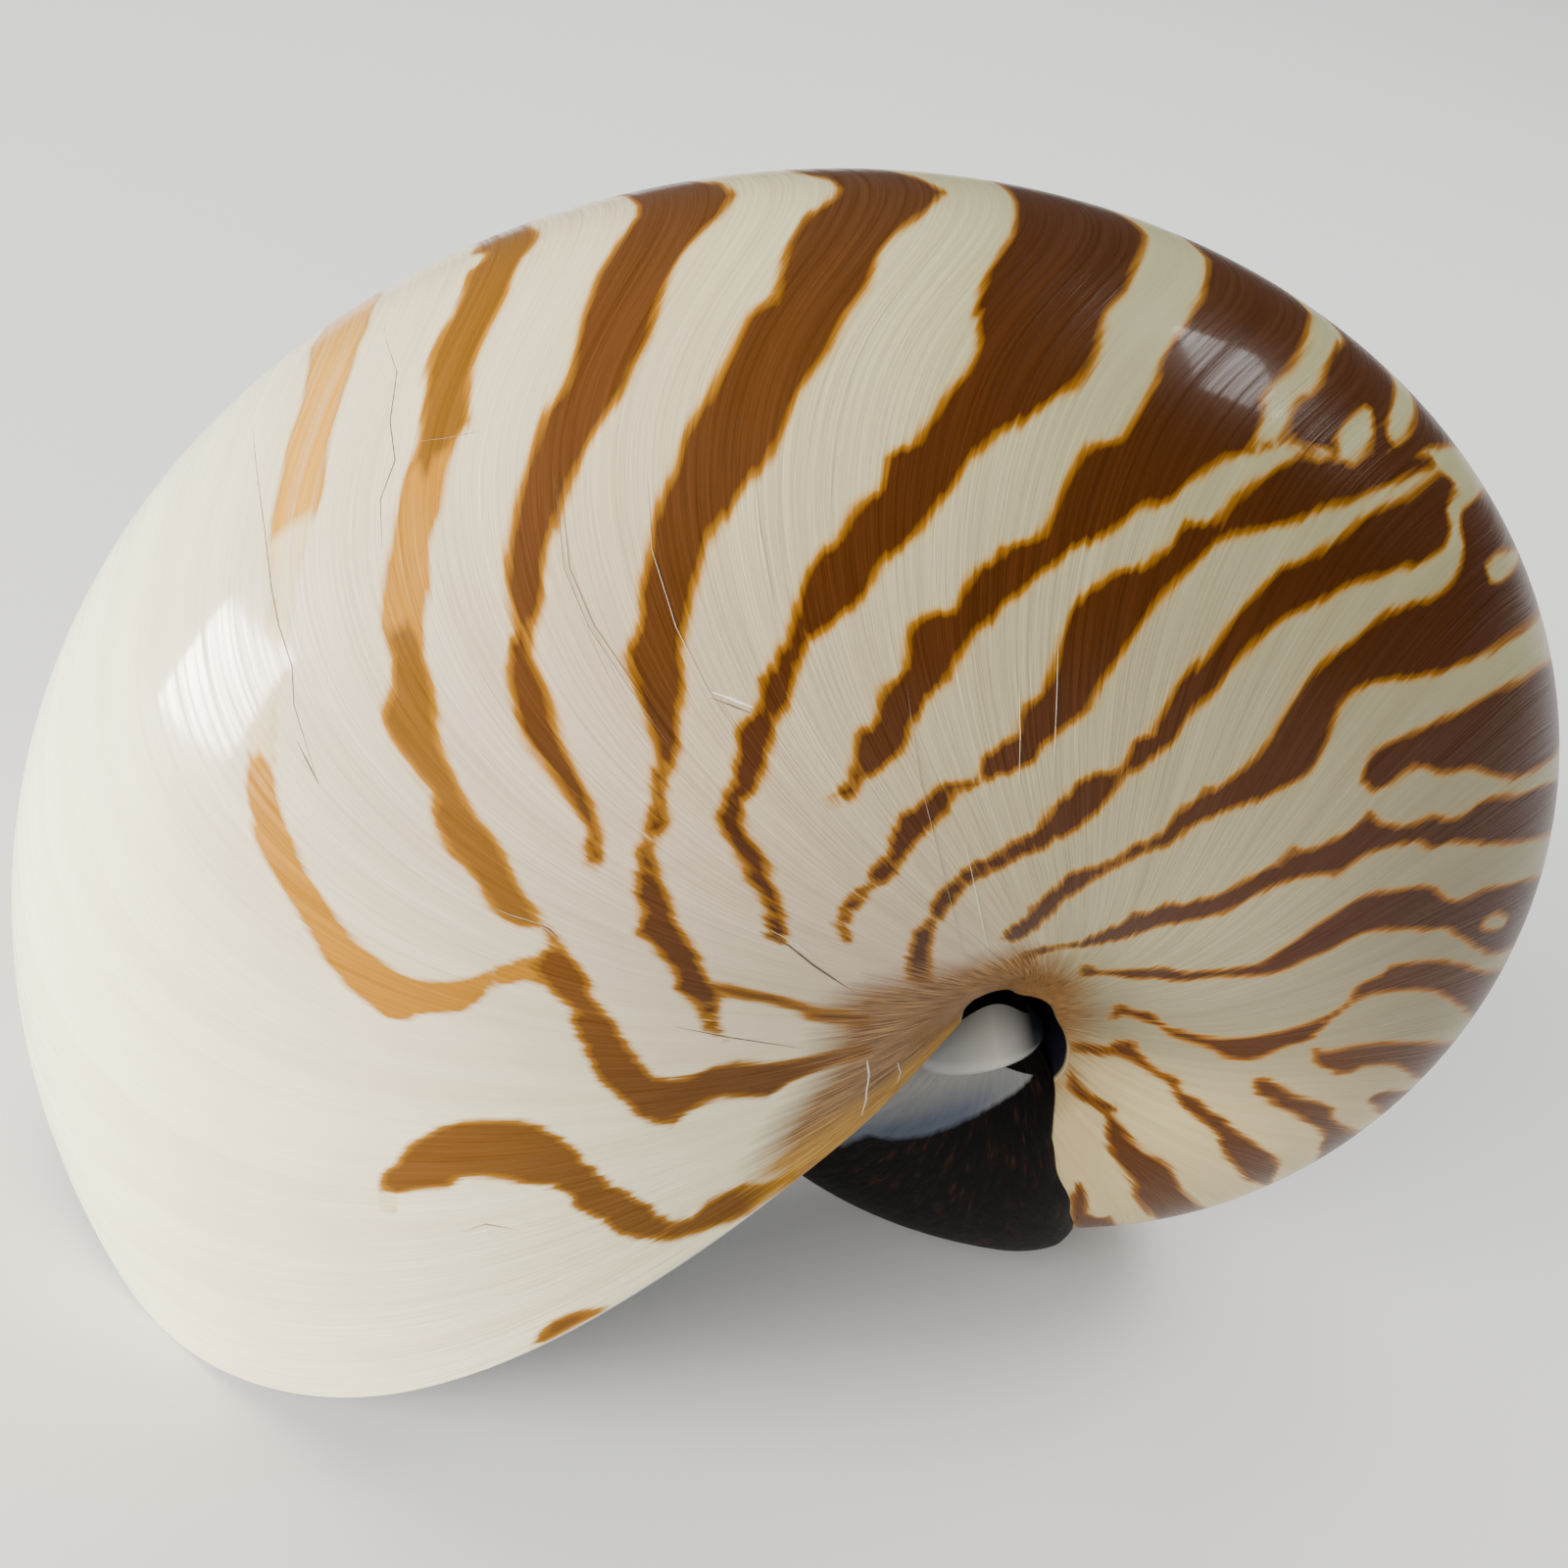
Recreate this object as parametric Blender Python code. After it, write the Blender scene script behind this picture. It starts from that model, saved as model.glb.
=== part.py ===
"""Shell of a chambered nautilus, standing on its coil and on the crests of its lip.

Metres, +Z up. The shell's plane of symmetry is Y = 0 and the aperture opens towards -X and down.
The shell is worked out in its own coil frame (u to the back, v up, w out of the near flank), where
angles run in degrees the way the shell grew, and it is then set level on the ground.
"""
import math

import bmesh
import bpy
import numpy as np

# Size and spiral of the coil
VENTER_RADIUS = 0.112           # coil axis to the outer edge of the last whorl at the reference angle
REFERENCE_ANGLE = 200.0         # where the venter radius is taken, degrees from the +u direction
WHORL_GROWTH = 3.2              # how many times larger each whorl is than the one before
LEVEL_TURN = 9.02               # degrees that set the lip's crests and the coil level on the ground
WHORL_WOBBLE = ((0.0247, -0.0091), (-0.0229, -0.0084), (0.0009, -0.0071))   # off the even spiral

# Half of the whorl's cross-section, from the venter to the umbilicus: distance from the coil
# axis and half width, both as shares of the venter radius there
FLANK = ((1.0, 0.0), (0.97, 0.137), (0.88, 0.261), (0.70, 0.355),
         (0.50, 0.385), (0.30, 0.355), (0.15, 0.28), (0.06, 0.19))

# How many degrees the lip lags behind its crest, against the share of the venter radius
LIP_CREST_ANGLE = 203.8
LIP_LAG = ((0.06, 39.5), (0.08, 31.0), (0.106, 24.8), (0.133, 20.7), (0.17, 16.9),
           (0.22, 13.0), (0.28, 9.2), (0.35, 5.9), (0.43, 3.1), (0.55, 0.7),
           (0.66, 0.0), (0.775, 1.0), (0.87, 3.2), (0.95, 7.5), (1.0, 12.5))
LEAN_START = 95.0               # the whorl's rows start to lean towards the lip's line here

# Umbilicus: radius of its rim against the angle, in metres, and the wall from the rim to the floor
RIM_RADIUS = ((-95.0, 0.0125), (-68.0, 0.0122), (-48.0, 0.0100), (-32.0, 0.0076), (0.0, 0.0055),
              (45.0, 0.0044), (90.0, 0.0042), (164.0, 0.0062), (206.0, 0.0068))
PIT_WALL = ((0.88, 0.15), (0.76, 0.50), (0.66, 1.0))     # share of the rim radius, share of the depth
PIT_FLOOR_HEIGHT = 0.0075       # half thickness of the coil at the floor of the pit

# Callus that plugs the umbilicus: a low dome, its radius in metres against the direction
CALLUS_RADIUS = ((0.0, 0.0036), (60.0, 0.0036), (110.0, 0.0070), (160.0, 0.0135), (200.0, 0.0158),
                 (240.0, 0.0150), (285.0, 0.0085), (320.0, 0.0048), (360.0, 0.0036))
CALLUS_HEIGHT = 0.0131          # half thickness of the coil at the top of the dome

# Body chamber
SEPTUM_ANGLE = 78.0             # the last wall across the coil, at the back of the body chamber
SEPTUM_DISH = 0.013             # how far that wall is dished away from the aperture
WALL_THICKNESS = 0.0018
LIP_THICKNESS = 0.0011
LIP_TAPER = 25.0                # degrees of the whorl over which the wall thins towards the lip
CHAMBER_CORNER = ((0.20, 1.0), (0.15, 0.85), (0.118, 0.62))      # share of R, share of the height
CHAMBER_POST = 0.108            # inner end of the chamber beside the umbilicus, share of R
POST_STEPS = 4

# The older coil inside the aperture, with the black layer laid down on it
WHORL_START = -95.0             # the last whorl's outer face is drawn from this angle on
BLACK_FRONT_ANGLE = -75.5       # front edge of the black layer
BLACK_ROUNDING = 13.0           # degrees over which the layer rounds off to that edge
BLACK_THICKNESS = 0.0043
BLACK_SINK = 0.0008             # how deep the layer's edge runs on below the face that it lies on
OLDER_COIL_AXIS_HEIGHT = 0.0050     # its half thickness on the axis, under the callus

# Fineness of the faceted solid
CURVE_STEPS = 80
FLANK_STEPS = 16
WHORL_STEP = 5.0
CHAMBER_STEP = 7.0
SEPTUM_STEPS = 8
COIL_STEP = 8.0
FRONT_STEPS = 5
CALLUS_DIRECTIONS = 28
CALLUS_RINGS = 6
WELD_DISTANCE = 1e-7

SHELL_COLOUR = (0.80, 0.73, 0.62, 1.0)
SHELL_ROUGHNESS = 0.3


def natural_spline(positions, values, wanted):
    """Natural cubic spline through values at rising positions, read at the wanted positions."""
    gaps = np.diff(positions)
    slopes = np.diff(values) / gaps
    count = len(positions)
    matrix = np.eye(count)
    right_side = np.zeros(count)
    for row in range(1, count - 1):
        matrix[row, row - 1] = gaps[row - 1]
        matrix[row, row] = 2.0 * (gaps[row - 1] + gaps[row])
        matrix[row, row + 1] = gaps[row]
        right_side[row] = 6.0 * (slopes[row] - slopes[row - 1])
    bends = np.linalg.solve(matrix, right_side)
    piece = np.clip(np.searchsorted(positions, wanted) - 1, 0, count - 2)
    gap = gaps[piece]
    after = (wanted - positions[piece]) / gap
    before = 1.0 - after
    curve = (before ** 3 - before) * bends[piece] + (after ** 3 - after) * bends[piece + 1]
    return before * values[piece] + after * values[piece + 1] + curve * gap ** 2 / 6.0


def read_curve(pairs, value):
    """The value that a smooth curve through pairs of (position, value) has at a position."""
    table = np.array(pairs)
    position = np.clip(value, table[0, 0], table[-1, 0])
    return float(natural_spline(table[:, 0], table[:, 1], np.array([position]))[0])


def smooth_step(value, start, end):
    share = min(max((value - start) / (end - start), 0.0), 1.0)
    return share * share * (3.0 - 2.0 * share)


def flank_curve():
    """Fine points along half the cross-section, from the venter to the umbilicus."""
    near = np.array(FLANK)
    outline = np.vstack((near[:0:-1] * (1.0, -1.0), near))
    lengths = np.hypot(*np.diff(outline, axis=0).T)
    along = np.concatenate(([0.0], np.cumsum(lengths)))
    venter = along[len(FLANK) - 1]
    wanted = np.linspace(venter, along[-1], CURVE_STEPS + 1)
    rho = natural_spline(along, outline[:, 0], wanted)
    omega = natural_spline(along, outline[:, 1], wanted)
    omega[0] = 0.0
    return rho, omega


def spread_out(rho, omega):
    """The same curve in FLANK_STEPS steps, closer together towards the sharply curved venter."""
    lengths = np.hypot(np.diff(rho), np.diff(omega))
    along = np.concatenate(([0.0], np.cumsum(lengths)))
    steps = np.linspace(0.0, 1.0, FLANK_STEPS + 1)
    wanted = along[-1] * (0.55 * steps + 0.45 * steps ** 2)
    return np.interp(wanted, along, rho), np.interp(wanted, along, omega)


def venter_radius(angle):
    """Distance from the coil axis to the venter at an angle, in metres."""
    turn = math.radians(angle - REFERENCE_ANGLE)
    wobble = 0.0
    for order, (even, odd) in enumerate(WHORL_WOBBLE, start=1):
        wobble += even * (math.cos(order * turn) - 1.0) + odd * math.sin(order * turn)
    return VENTER_RADIUS * math.exp(math.log(WHORL_GROWTH) * turn / math.tau + wobble)


def coil_point(angle, radius, height):
    """A point of the coil frame from its angle, its distance from the axis and its height."""
    turn = math.radians(angle)
    return (radius * math.cos(turn), radius * math.sin(turn), height)


def leaning_point(angle, rho, omega):
    """A point of a growth stage's row, which leans back towards the line of the lip."""
    lean = smooth_step(angle, LEAN_START, LIP_CREST_ANGLE)
    turned = angle - lean * read_curve(LIP_LAG, rho)
    radius = venter_radius(turned)
    return coil_point(turned, rho * radius, omega * radius)


def outer_row(angle):
    """Outer face of the whorl at one growth stage, from the venter over the rim to the axis."""
    rho, omega = flank_curve()
    rim = read_curve(RIM_RADIUS, angle) / venter_radius(angle)
    rim_height = np.interp(rim, rho[::-1], omega[::-1])
    kept = rho > rim
    rho, omega = spread_out(np.append(rho[kept], rim), np.append(omega[kept], rim_height))
    points = [leaning_point(angle, share, width) for share, width in zip(rho, omega)]
    rim_u, rim_v, rim_w = points[-1]
    for radius_share, depth_share in PIT_WALL:
        height = rim_w + (PIT_FLOOR_HEIGHT - rim_w) * depth_share
        points.append((rim_u * radius_share, rim_v * radius_share, height))
    points.append((0.0, 0.0, PIT_FLOOR_HEIGHT))
    return points


def chamber_row(angle):
    """Inner face of the body chamber at one growth stage, in step with outer_row."""
    to_lip = smooth_step(angle, LIP_CREST_ANGLE - LIP_TAPER, LIP_CREST_ANGLE)
    thickness = WALL_THICKNESS + (LIP_THICKNESS - WALL_THICKNESS) * to_lip
    wall = thickness / venter_radius(angle)
    rho, omega = flank_curve()
    rho_change = np.gradient(rho)
    omega_change = np.gradient(omega)
    length = np.hypot(rho_change, omega_change)
    rho = rho - wall * omega_change / length
    omega = omega + wall * rho_change / length
    omega[0] = 0.0
    corner_start = CHAMBER_CORNER[0][0]
    corner_height = np.interp(corner_start, rho[::-1], omega[::-1])
    kept = rho > corner_start
    corner_rho = [share for share, height_share in CHAMBER_CORNER]
    corner_omega = [corner_height * height_share for share, height_share in CHAMBER_CORNER]
    rho, omega = spread_out(np.append(rho[kept], corner_rho), np.append(omega[kept], corner_omega))
    points = [leaning_point(angle, share, width) for share, width in zip(rho, omega)]
    for step in range(1, POST_STEPS + 1):
        width = omega[-1] * (1.0 - step / POST_STEPS)
        points.append(leaning_point(angle, CHAMBER_POST, width))
    return points


def mirrored(points):
    return [(u, v, -w) for u, v, w in points]


def septum_rows(near_row):
    """Rows across the chamber's back wall, from the near flank to the far one."""
    rows = []
    middle_radius = 0.5 * venter_radius(SEPTUM_ANGLE)
    widest = max(point[2] for point in near_row)
    for step in range(SEPTUM_STEPS + 1):
        across = math.cos(math.pi * step / SEPTUM_STEPS)
        row = []
        for u, v, w in near_row:
            depth = SEPTUM_DISH * (1.0 - across * across) * w / widest
            turn = -depth / middle_radius
            row.append((u * math.cos(turn) - v * math.sin(turn),
                        u * math.sin(turn) + v * math.cos(turn), w * across))
        rows.append(row)
    return rows


def older_coil_row(angle):
    """Face of the older coil with the black layer on it, from the venter to the axis."""
    into_edge = min(max((angle - BLACK_FRONT_ANGLE) / BLACK_ROUNDING + 1.0, 0.0), 1.0)
    raised = (BLACK_THICKNESS + BLACK_SINK) * math.sqrt(1.0 - into_edge ** 2) - BLACK_SINK
    grown = venter_radius(angle) + raised
    rho, omega = spread_out(*flank_curve())
    points = [coil_point(angle, share * grown, width * grown) for share, width in zip(rho, omega)]
    points.append((0.0, 0.0, OLDER_COIL_AXIS_HEIGHT))
    return points


def callus_row(direction):
    """The callus from its edge on the plane of symmetry up to the top of its dome."""
    edge = read_curve(CALLUS_RADIUS, direction)
    points = []
    for ring in range(CALLUS_RINGS):
        climb = 0.5 * math.pi * ring / CALLUS_RINGS
        points.append(coil_point(direction, edge * math.cos(climb), CALLUS_HEIGHT * math.sin(climb)))
    points.append((0.0, 0.0, CALLUS_HEIGHT))
    return points


class Skin:
    """Gathers the faces of one closed body from grids of points."""

    def __init__(self):
        self.mesh = bmesh.new()

    def grid(self, rows):
        made = [[self.mesh.verts.new(point) for point in row] for row in rows]
        for first, second in zip(made, made[1:]):
            for index in range(len(first) - 1):
                corners = (first[index], first[index + 1], second[index + 1], second[index])
                self.mesh.faces.new(corners)

    def mirrored_grids(self, rows):
        self.grid(rows)
        self.grid([mirrored(row) for row in rows])

    def face(self, points):
        self.mesh.faces.new([self.mesh.verts.new(point) for point in points])

    def close(self, name, collection):
        bmesh.ops.remove_doubles(self.mesh, verts=self.mesh.verts, dist=WELD_DISTANCE)
        bmesh.ops.dissolve_degenerate(self.mesh, edges=self.mesh.edges, dist=WELD_DISTANCE)
        bmesh.ops.triangulate(self.mesh, faces=self.mesh.faces)
        bmesh.ops.recalc_face_normals(self.mesh, faces=self.mesh.faces)
        mesh = bpy.data.meshes.new(name)
        self.mesh.to_mesh(mesh)
        self.mesh.free()
        made = bpy.data.objects.new(name, mesh)
        collection.objects.link(made)
        return made


def evenly(start, end, step):
    return np.linspace(start, end, round(abs(end - start) / step) + 1)


def make_last_whorl(collection):
    """The last whorl: solid behind the septum, a thin wall around the body chamber before it."""
    outer = [outer_row(angle) for angle in evenly(WHORL_START, LIP_CREST_ANGLE, WHORL_STEP)]
    inner = [chamber_row(angle) for angle in evenly(LIP_CREST_ANGLE, SEPTUM_ANGLE, CHAMBER_STEP)]
    skin = Skin()
    skin.mirrored_grids(outer + inner)
    skin.grid(septum_rows(inner[-1]))
    skin.grid([outer[0], mirrored(outer[0])])
    skin.face([outer[-1][-1], inner[0][-1], mirrored(outer[-1])[-1]])
    return skin.close("shell", collection)


def make_older_coil(collection):
    """The older coil that the last whorl wraps: a whole turn, as the shell was when younger."""
    full_until = BLACK_FRONT_ANGLE - BLACK_ROUNDING
    angles = list(evenly(BLACK_FRONT_ANGLE - 360.0, full_until, COIL_STEP))
    for step in range(1, FRONT_STEPS + 1):
        angles.append(full_until + BLACK_ROUNDING * math.sin(0.5 * math.pi * step / FRONT_STEPS))
    rows = [older_coil_row(angle) for angle in angles]
    skin = Skin()
    skin.mirrored_grids(rows)
    skin.mirrored_grids([rows[0], rows[-1]])
    return skin.close("older_coil", collection)


def make_callus(collection):
    """The nacre that plugs the umbilicus on both flanks, as one body through the coil."""
    directions = np.linspace(0.0, 360.0, CALLUS_DIRECTIONS + 1)
    skin = Skin()
    skin.mirrored_grids([callus_row(direction) for direction in directions])
    return skin.close("callus", collection)


def set_on_ground(bodies):
    """Turn the coil frame upright and level, and put the middle of its foot at the origin."""
    turn = math.radians(LEVEL_TURN)
    upright = np.array(((math.cos(turn), -math.sin(turn), 0.0),
                        (0.0, 0.0, -1.0),
                        (math.sin(turn), math.cos(turn), 0.0)))
    points = np.array([vertex.co for body in bodies for vertex in body.data.vertices])
    placed = points @ upright.T
    lowest = placed.min(axis=0)
    highest = placed.max(axis=0)
    shift = np.array((-0.5 * (lowest[0] + highest[0]), 0.0, -lowest[2]))
    for body in bodies:
        for vertex in body.data.vertices:
            vertex.co = upright @ np.array(vertex.co) + shift


def main():
    for old in list(bpy.data.objects):
        bpy.data.objects.remove(old, do_unlink=True)
    scene = bpy.context.scene
    part = bpy.data.collections.new("nautilus_shell")
    helpers = bpy.data.collections.new("cutters")
    scene.collection.children.link(part)
    scene.collection.children.link(helpers)

    shell = make_last_whorl(part)
    inner_bodies = [make_older_coil(helpers), make_callus(helpers)]
    set_on_ground([shell] + inner_bodies)
    for body in inner_bodies:
        body.hide_render = True
        body.display_type = "WIRE"
        join = shell.modifiers.new("grown together with the " + body.name, "BOOLEAN")
        join.operation = "UNION"
        join.solver = "EXACT"
        join.object = body

    material = bpy.data.materials.new("shell")
    material.use_nodes = True
    surface = material.node_tree.nodes["Principled BSDF"]
    surface.inputs["Base Color"].default_value = SHELL_COLOUR
    surface.inputs["Roughness"].default_value = SHELL_ROUGHNESS
    surface.inputs["Metallic"].default_value = 0.0
    shell.data.materials.append(material)
    shell.data.shade_smooth()


main()
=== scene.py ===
"""Looks of the nautilus shell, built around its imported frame.

Metres, +Z up. The shell's plane of symmetry is Y = 0, the near flank faces -Y, and the aperture
opens towards -X and down. Angles on the coil run in degrees the way the shell grew.
"""

import math

import bpy
import numpy as np
from mathutils import Matrix, Vector
from mathutils.bvhtree import BVHTree


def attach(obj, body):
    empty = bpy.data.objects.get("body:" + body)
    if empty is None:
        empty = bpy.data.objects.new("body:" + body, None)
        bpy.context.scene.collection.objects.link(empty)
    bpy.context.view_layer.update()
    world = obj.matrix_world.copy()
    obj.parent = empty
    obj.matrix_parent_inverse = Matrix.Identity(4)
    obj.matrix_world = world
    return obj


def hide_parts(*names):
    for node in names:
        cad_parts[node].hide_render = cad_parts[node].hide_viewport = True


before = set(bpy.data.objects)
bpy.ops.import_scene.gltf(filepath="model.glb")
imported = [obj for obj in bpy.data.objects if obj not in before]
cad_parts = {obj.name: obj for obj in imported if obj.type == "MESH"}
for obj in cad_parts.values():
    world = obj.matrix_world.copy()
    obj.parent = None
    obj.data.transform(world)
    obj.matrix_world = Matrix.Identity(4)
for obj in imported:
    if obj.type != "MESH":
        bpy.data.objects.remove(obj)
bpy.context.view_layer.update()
for spare in ("Cube", "Light", "Camera"):
    if spare in bpy.data.objects:
        bpy.data.objects.remove(bpy.data.objects[spare], do_unlink=True)

# Where the shell stands. It rests on the bottom of its coil and on the two crests of its lip, and
# its own coil frame (u to the back, v up, w out of the near flank) is turned to suit.
LEVEL_TURN = 9.02               # degrees between the coil frame and the ground
COIL_AXIS_PLACE = (0.02515084, 0.0, 0.04816398)

turn = math.radians(LEVEL_TURN)
upright = np.array(((math.cos(turn), -math.sin(turn), 0.0),
                    (0.0, 0.0, -1.0),
                    (math.sin(turn), math.cos(turn), 0.0)))


def in_place(coil_points):
    """Points of the coil frame, moved to where the shell stands."""
    return np.asarray(coil_points) @ upright.T + np.array(COIL_AXIS_PLACE)


# The camera, where the photograph was taken from: above the near flank and some 20 cm away. Its lens,
# tilt and place were fitted to the shell's outline, the hole of the umbilicus and the black front.
LENS = 42.95
SENSOR = 36.0
PHOTO_SIZE = 1600
CAMERA_TILT = 0.66017           # radians above the flank's own axis
CAMERA_SWING = 0.00829
CAMERA_OFFSET = (0.0237619, -0.0137794, 0.2076155)      # from the coil's middle, in the camera's axes
NEAREST_SEEN = 0.005

tilt = np.array(((1.0, 0.0, 0.0),
                 (0.0, math.cos(CAMERA_TILT), -math.sin(CAMERA_TILT)),
                 (0.0, math.sin(CAMERA_TILT), math.cos(CAMERA_TILT))))
swing = np.array(((math.cos(CAMERA_SWING), 0.0, math.sin(CAMERA_SWING)),
                  (0.0, 1.0, 0.0),
                  (-math.sin(CAMERA_SWING), 0.0, math.cos(CAMERA_SWING))))
to_camera = tilt @ swing
camera_spot = Vector(in_place(-to_camera.T @ (np.array(CAMERA_OFFSET) * (1.0, 1.0, -1.0))))
camera_axes = upright @ to_camera.T

camera_data = bpy.data.cameras.new("camera")
camera_data.lens = LENS
camera_data.sensor_width = SENSOR
camera_data.clip_start = NEAREST_SEEN
camera = bpy.data.objects.new("camera", camera_data)
camera.matrix_world = Matrix.Translation(camera_spot) @ Matrix(camera_axes.tolist()).to_4x4()
bpy.context.scene.collection.objects.link(camera)
bpy.context.scene.camera = camera


# Outer wall of the last whorl: a thin shell of lime, laid down line by line at the lip, white with
# brown flames. It runs from under the black layer, once round over the umbilicus, to the lip.
VENTER_RADIUS = 0.112           # coil axis to the outer edge of the whorl at the reference angle
REFERENCE_ANGLE = 200.0
WHORL_GROWTH = 3.2
WHORL_WOBBLE = ((0.0247, -0.0091), (-0.0229, -0.0084), (0.0009, -0.0071))
FLANK = ((1.0, 0.0), (0.97, 0.137), (0.88, 0.261), (0.70, 0.355),
         (0.50, 0.385), (0.30, 0.355), (0.15, 0.28), (0.06, 0.19))
LIP_CREST_ANGLE = 203.8
LIP_LAG = ((0.06, 39.5), (0.08, 31.0), (0.106, 24.8), (0.133, 20.7), (0.17, 16.9),
           (0.22, 13.0), (0.28, 9.2), (0.35, 5.9), (0.43, 3.1), (0.55, 0.7),
           (0.66, 0.0), (0.775, 1.0), (0.87, 3.2), (0.95, 7.5), (1.0, 12.5))
LEAN_START = 95.0
RIM_RADIUS = ((-95.0, 0.0125), (-68.0, 0.0122), (-48.0, 0.0098), (-30.0, 0.0064), (0.0, 0.0043),
              (30.0, 0.0030), (60.0, 0.0015), (90.0, 0.0008), (115.0, 0.0010), (140.0, 0.0032),
              (164.0, 0.0062), (206.0, 0.0068))
SMALLEST_RIM = 0.0005
# Before it turns into the pit the wall runs out in a shoulder, higher by these shares of the radius
SHOULDER_LIFT = ((-95.0, 0.0), (-60.0, 0.10), (-30.0, 0.18), (0.0, 0.165), (30.0, 0.12), (60.0, 0.082),
                 (90.0, 0.045), (130.0, 0.02), (164.0, 0.0), (206.0, 0.0))
SHOULDER_SHARE = 0.20
PIT_WALL = ((0.97, 0.03), (0.92, 0.10), (0.86, 0.24), (0.80, 0.42), (0.74, 0.64), (0.69, 0.85), (0.66, 1.0))
PIT_FLOOR_HEIGHT = 0.0075
WHORL_START = -95.0
WHORL_ROWS = 470
FLANK_COLUMNS = 84


def natural_spline(positions, values, wanted):
    """Natural cubic spline through values at rising positions, read at the wanted positions."""
    gaps = np.diff(positions)
    slopes = np.diff(values) / gaps
    count = len(positions)
    matrix = np.eye(count)
    right_side = np.zeros(count)
    for row in range(1, count - 1):
        matrix[row, row - 1] = gaps[row - 1]
        matrix[row, row] = 2.0 * (gaps[row - 1] + gaps[row])
        matrix[row, row + 1] = gaps[row]
        right_side[row] = 6.0 * (slopes[row] - slopes[row - 1])
    bends = np.linalg.solve(matrix, right_side)
    piece = np.clip(np.searchsorted(positions, wanted) - 1, 0, count - 2)
    gap = gaps[piece]
    after = (wanted - positions[piece]) / gap
    before = 1.0 - after
    curve = (before ** 3 - before) * bends[piece] + (after ** 3 - after) * bends[piece + 1]
    return before * values[piece] + after * values[piece + 1] + curve * gap ** 2 / 6.0


def read_curve(pairs, values):
    """What a smooth curve through pairs of (position, value) gives at some positions."""
    table = np.array(pairs)
    return natural_spline(table[:, 0], table[:, 1], np.clip(values, table[0, 0], table[-1, 0]))


def smooth_step(values, start, end):
    share = np.clip((np.asarray(values, float) - start) / (end - start), 0.0, 1.0)
    return share * share * (3.0 - 2.0 * share)


def venter_radius(angles):
    """Distance from the coil axis to the venter at some angles, in metres."""
    turned = np.radians(np.asarray(angles, float) - REFERENCE_ANGLE)
    wobble = 0.0
    for order, (even, odd) in enumerate(WHORL_WOBBLE, start=1):
        wobble = wobble + even * (np.cos(order * turned) - 1.0) + odd * np.sin(order * turned)
    return VENTER_RADIUS * np.exp(math.log(WHORL_GROWTH) * turned / math.tau + wobble)


def flank_curve(steps=400):
    """Half of the whorl's cross-section as shares of the venter radius, from the venter inwards."""
    near = np.array(FLANK)
    outline = np.vstack((near[:0:-1] * (1.0, -1.0), near))
    lengths = np.hypot(*np.diff(outline, axis=0).T)
    along = np.concatenate(([0.0], np.cumsum(lengths)))
    wanted = np.linspace(along[len(FLANK) - 1], along[-1], steps + 1)
    rho = natural_spline(along, outline[:, 0], wanted)
    omega = natural_spline(along, outline[:, 1], wanted)
    omega[0] = 0.0
    last_slope = (omega[-1] - omega[-2]) / (rho[-1] - rho[-2])
    inner_rho = np.linspace(rho[-1], 0.0, 41)[1:]
    inner_omega = omega[-1] + last_slope * (inner_rho - rho[-1])
    return np.append(rho, inner_rho), np.append(omega, inner_omega)


def lengths_along(rho, omega):
    return np.concatenate(([0.0], np.cumsum(np.hypot(np.diff(rho), np.diff(omega)))))


flank_rho, flank_omega = flank_curve()
flank_length = lengths_along(flank_rho, flank_omega)
# Distance over the flank from the venter, in the measure of a map that keeps shapes
mean_rho = 0.5 * (flank_rho[1:] + flank_rho[:-1])
flank_depth = np.concatenate(([0.0], np.cumsum(np.diff(flank_length) / mean_rho)))


def coil_points(angles, radii, heights):
    turned = np.radians(angles)
    return np.stack((radii * np.cos(turned), radii * np.sin(turned), heights + 0.0 * turned), axis=-1)


def leaning(angles, rho, omega):
    """Points and true angles of growth rows, which lean back towards the line of the lip."""
    lean = smooth_step(angles, LEAN_START, LIP_CREST_ANGLE)
    turned = angles - lean * read_curve(LIP_LAG, rho)
    radius = venter_radius(turned)
    return coil_points(turned, rho * radius, omega * radius), turned


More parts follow.
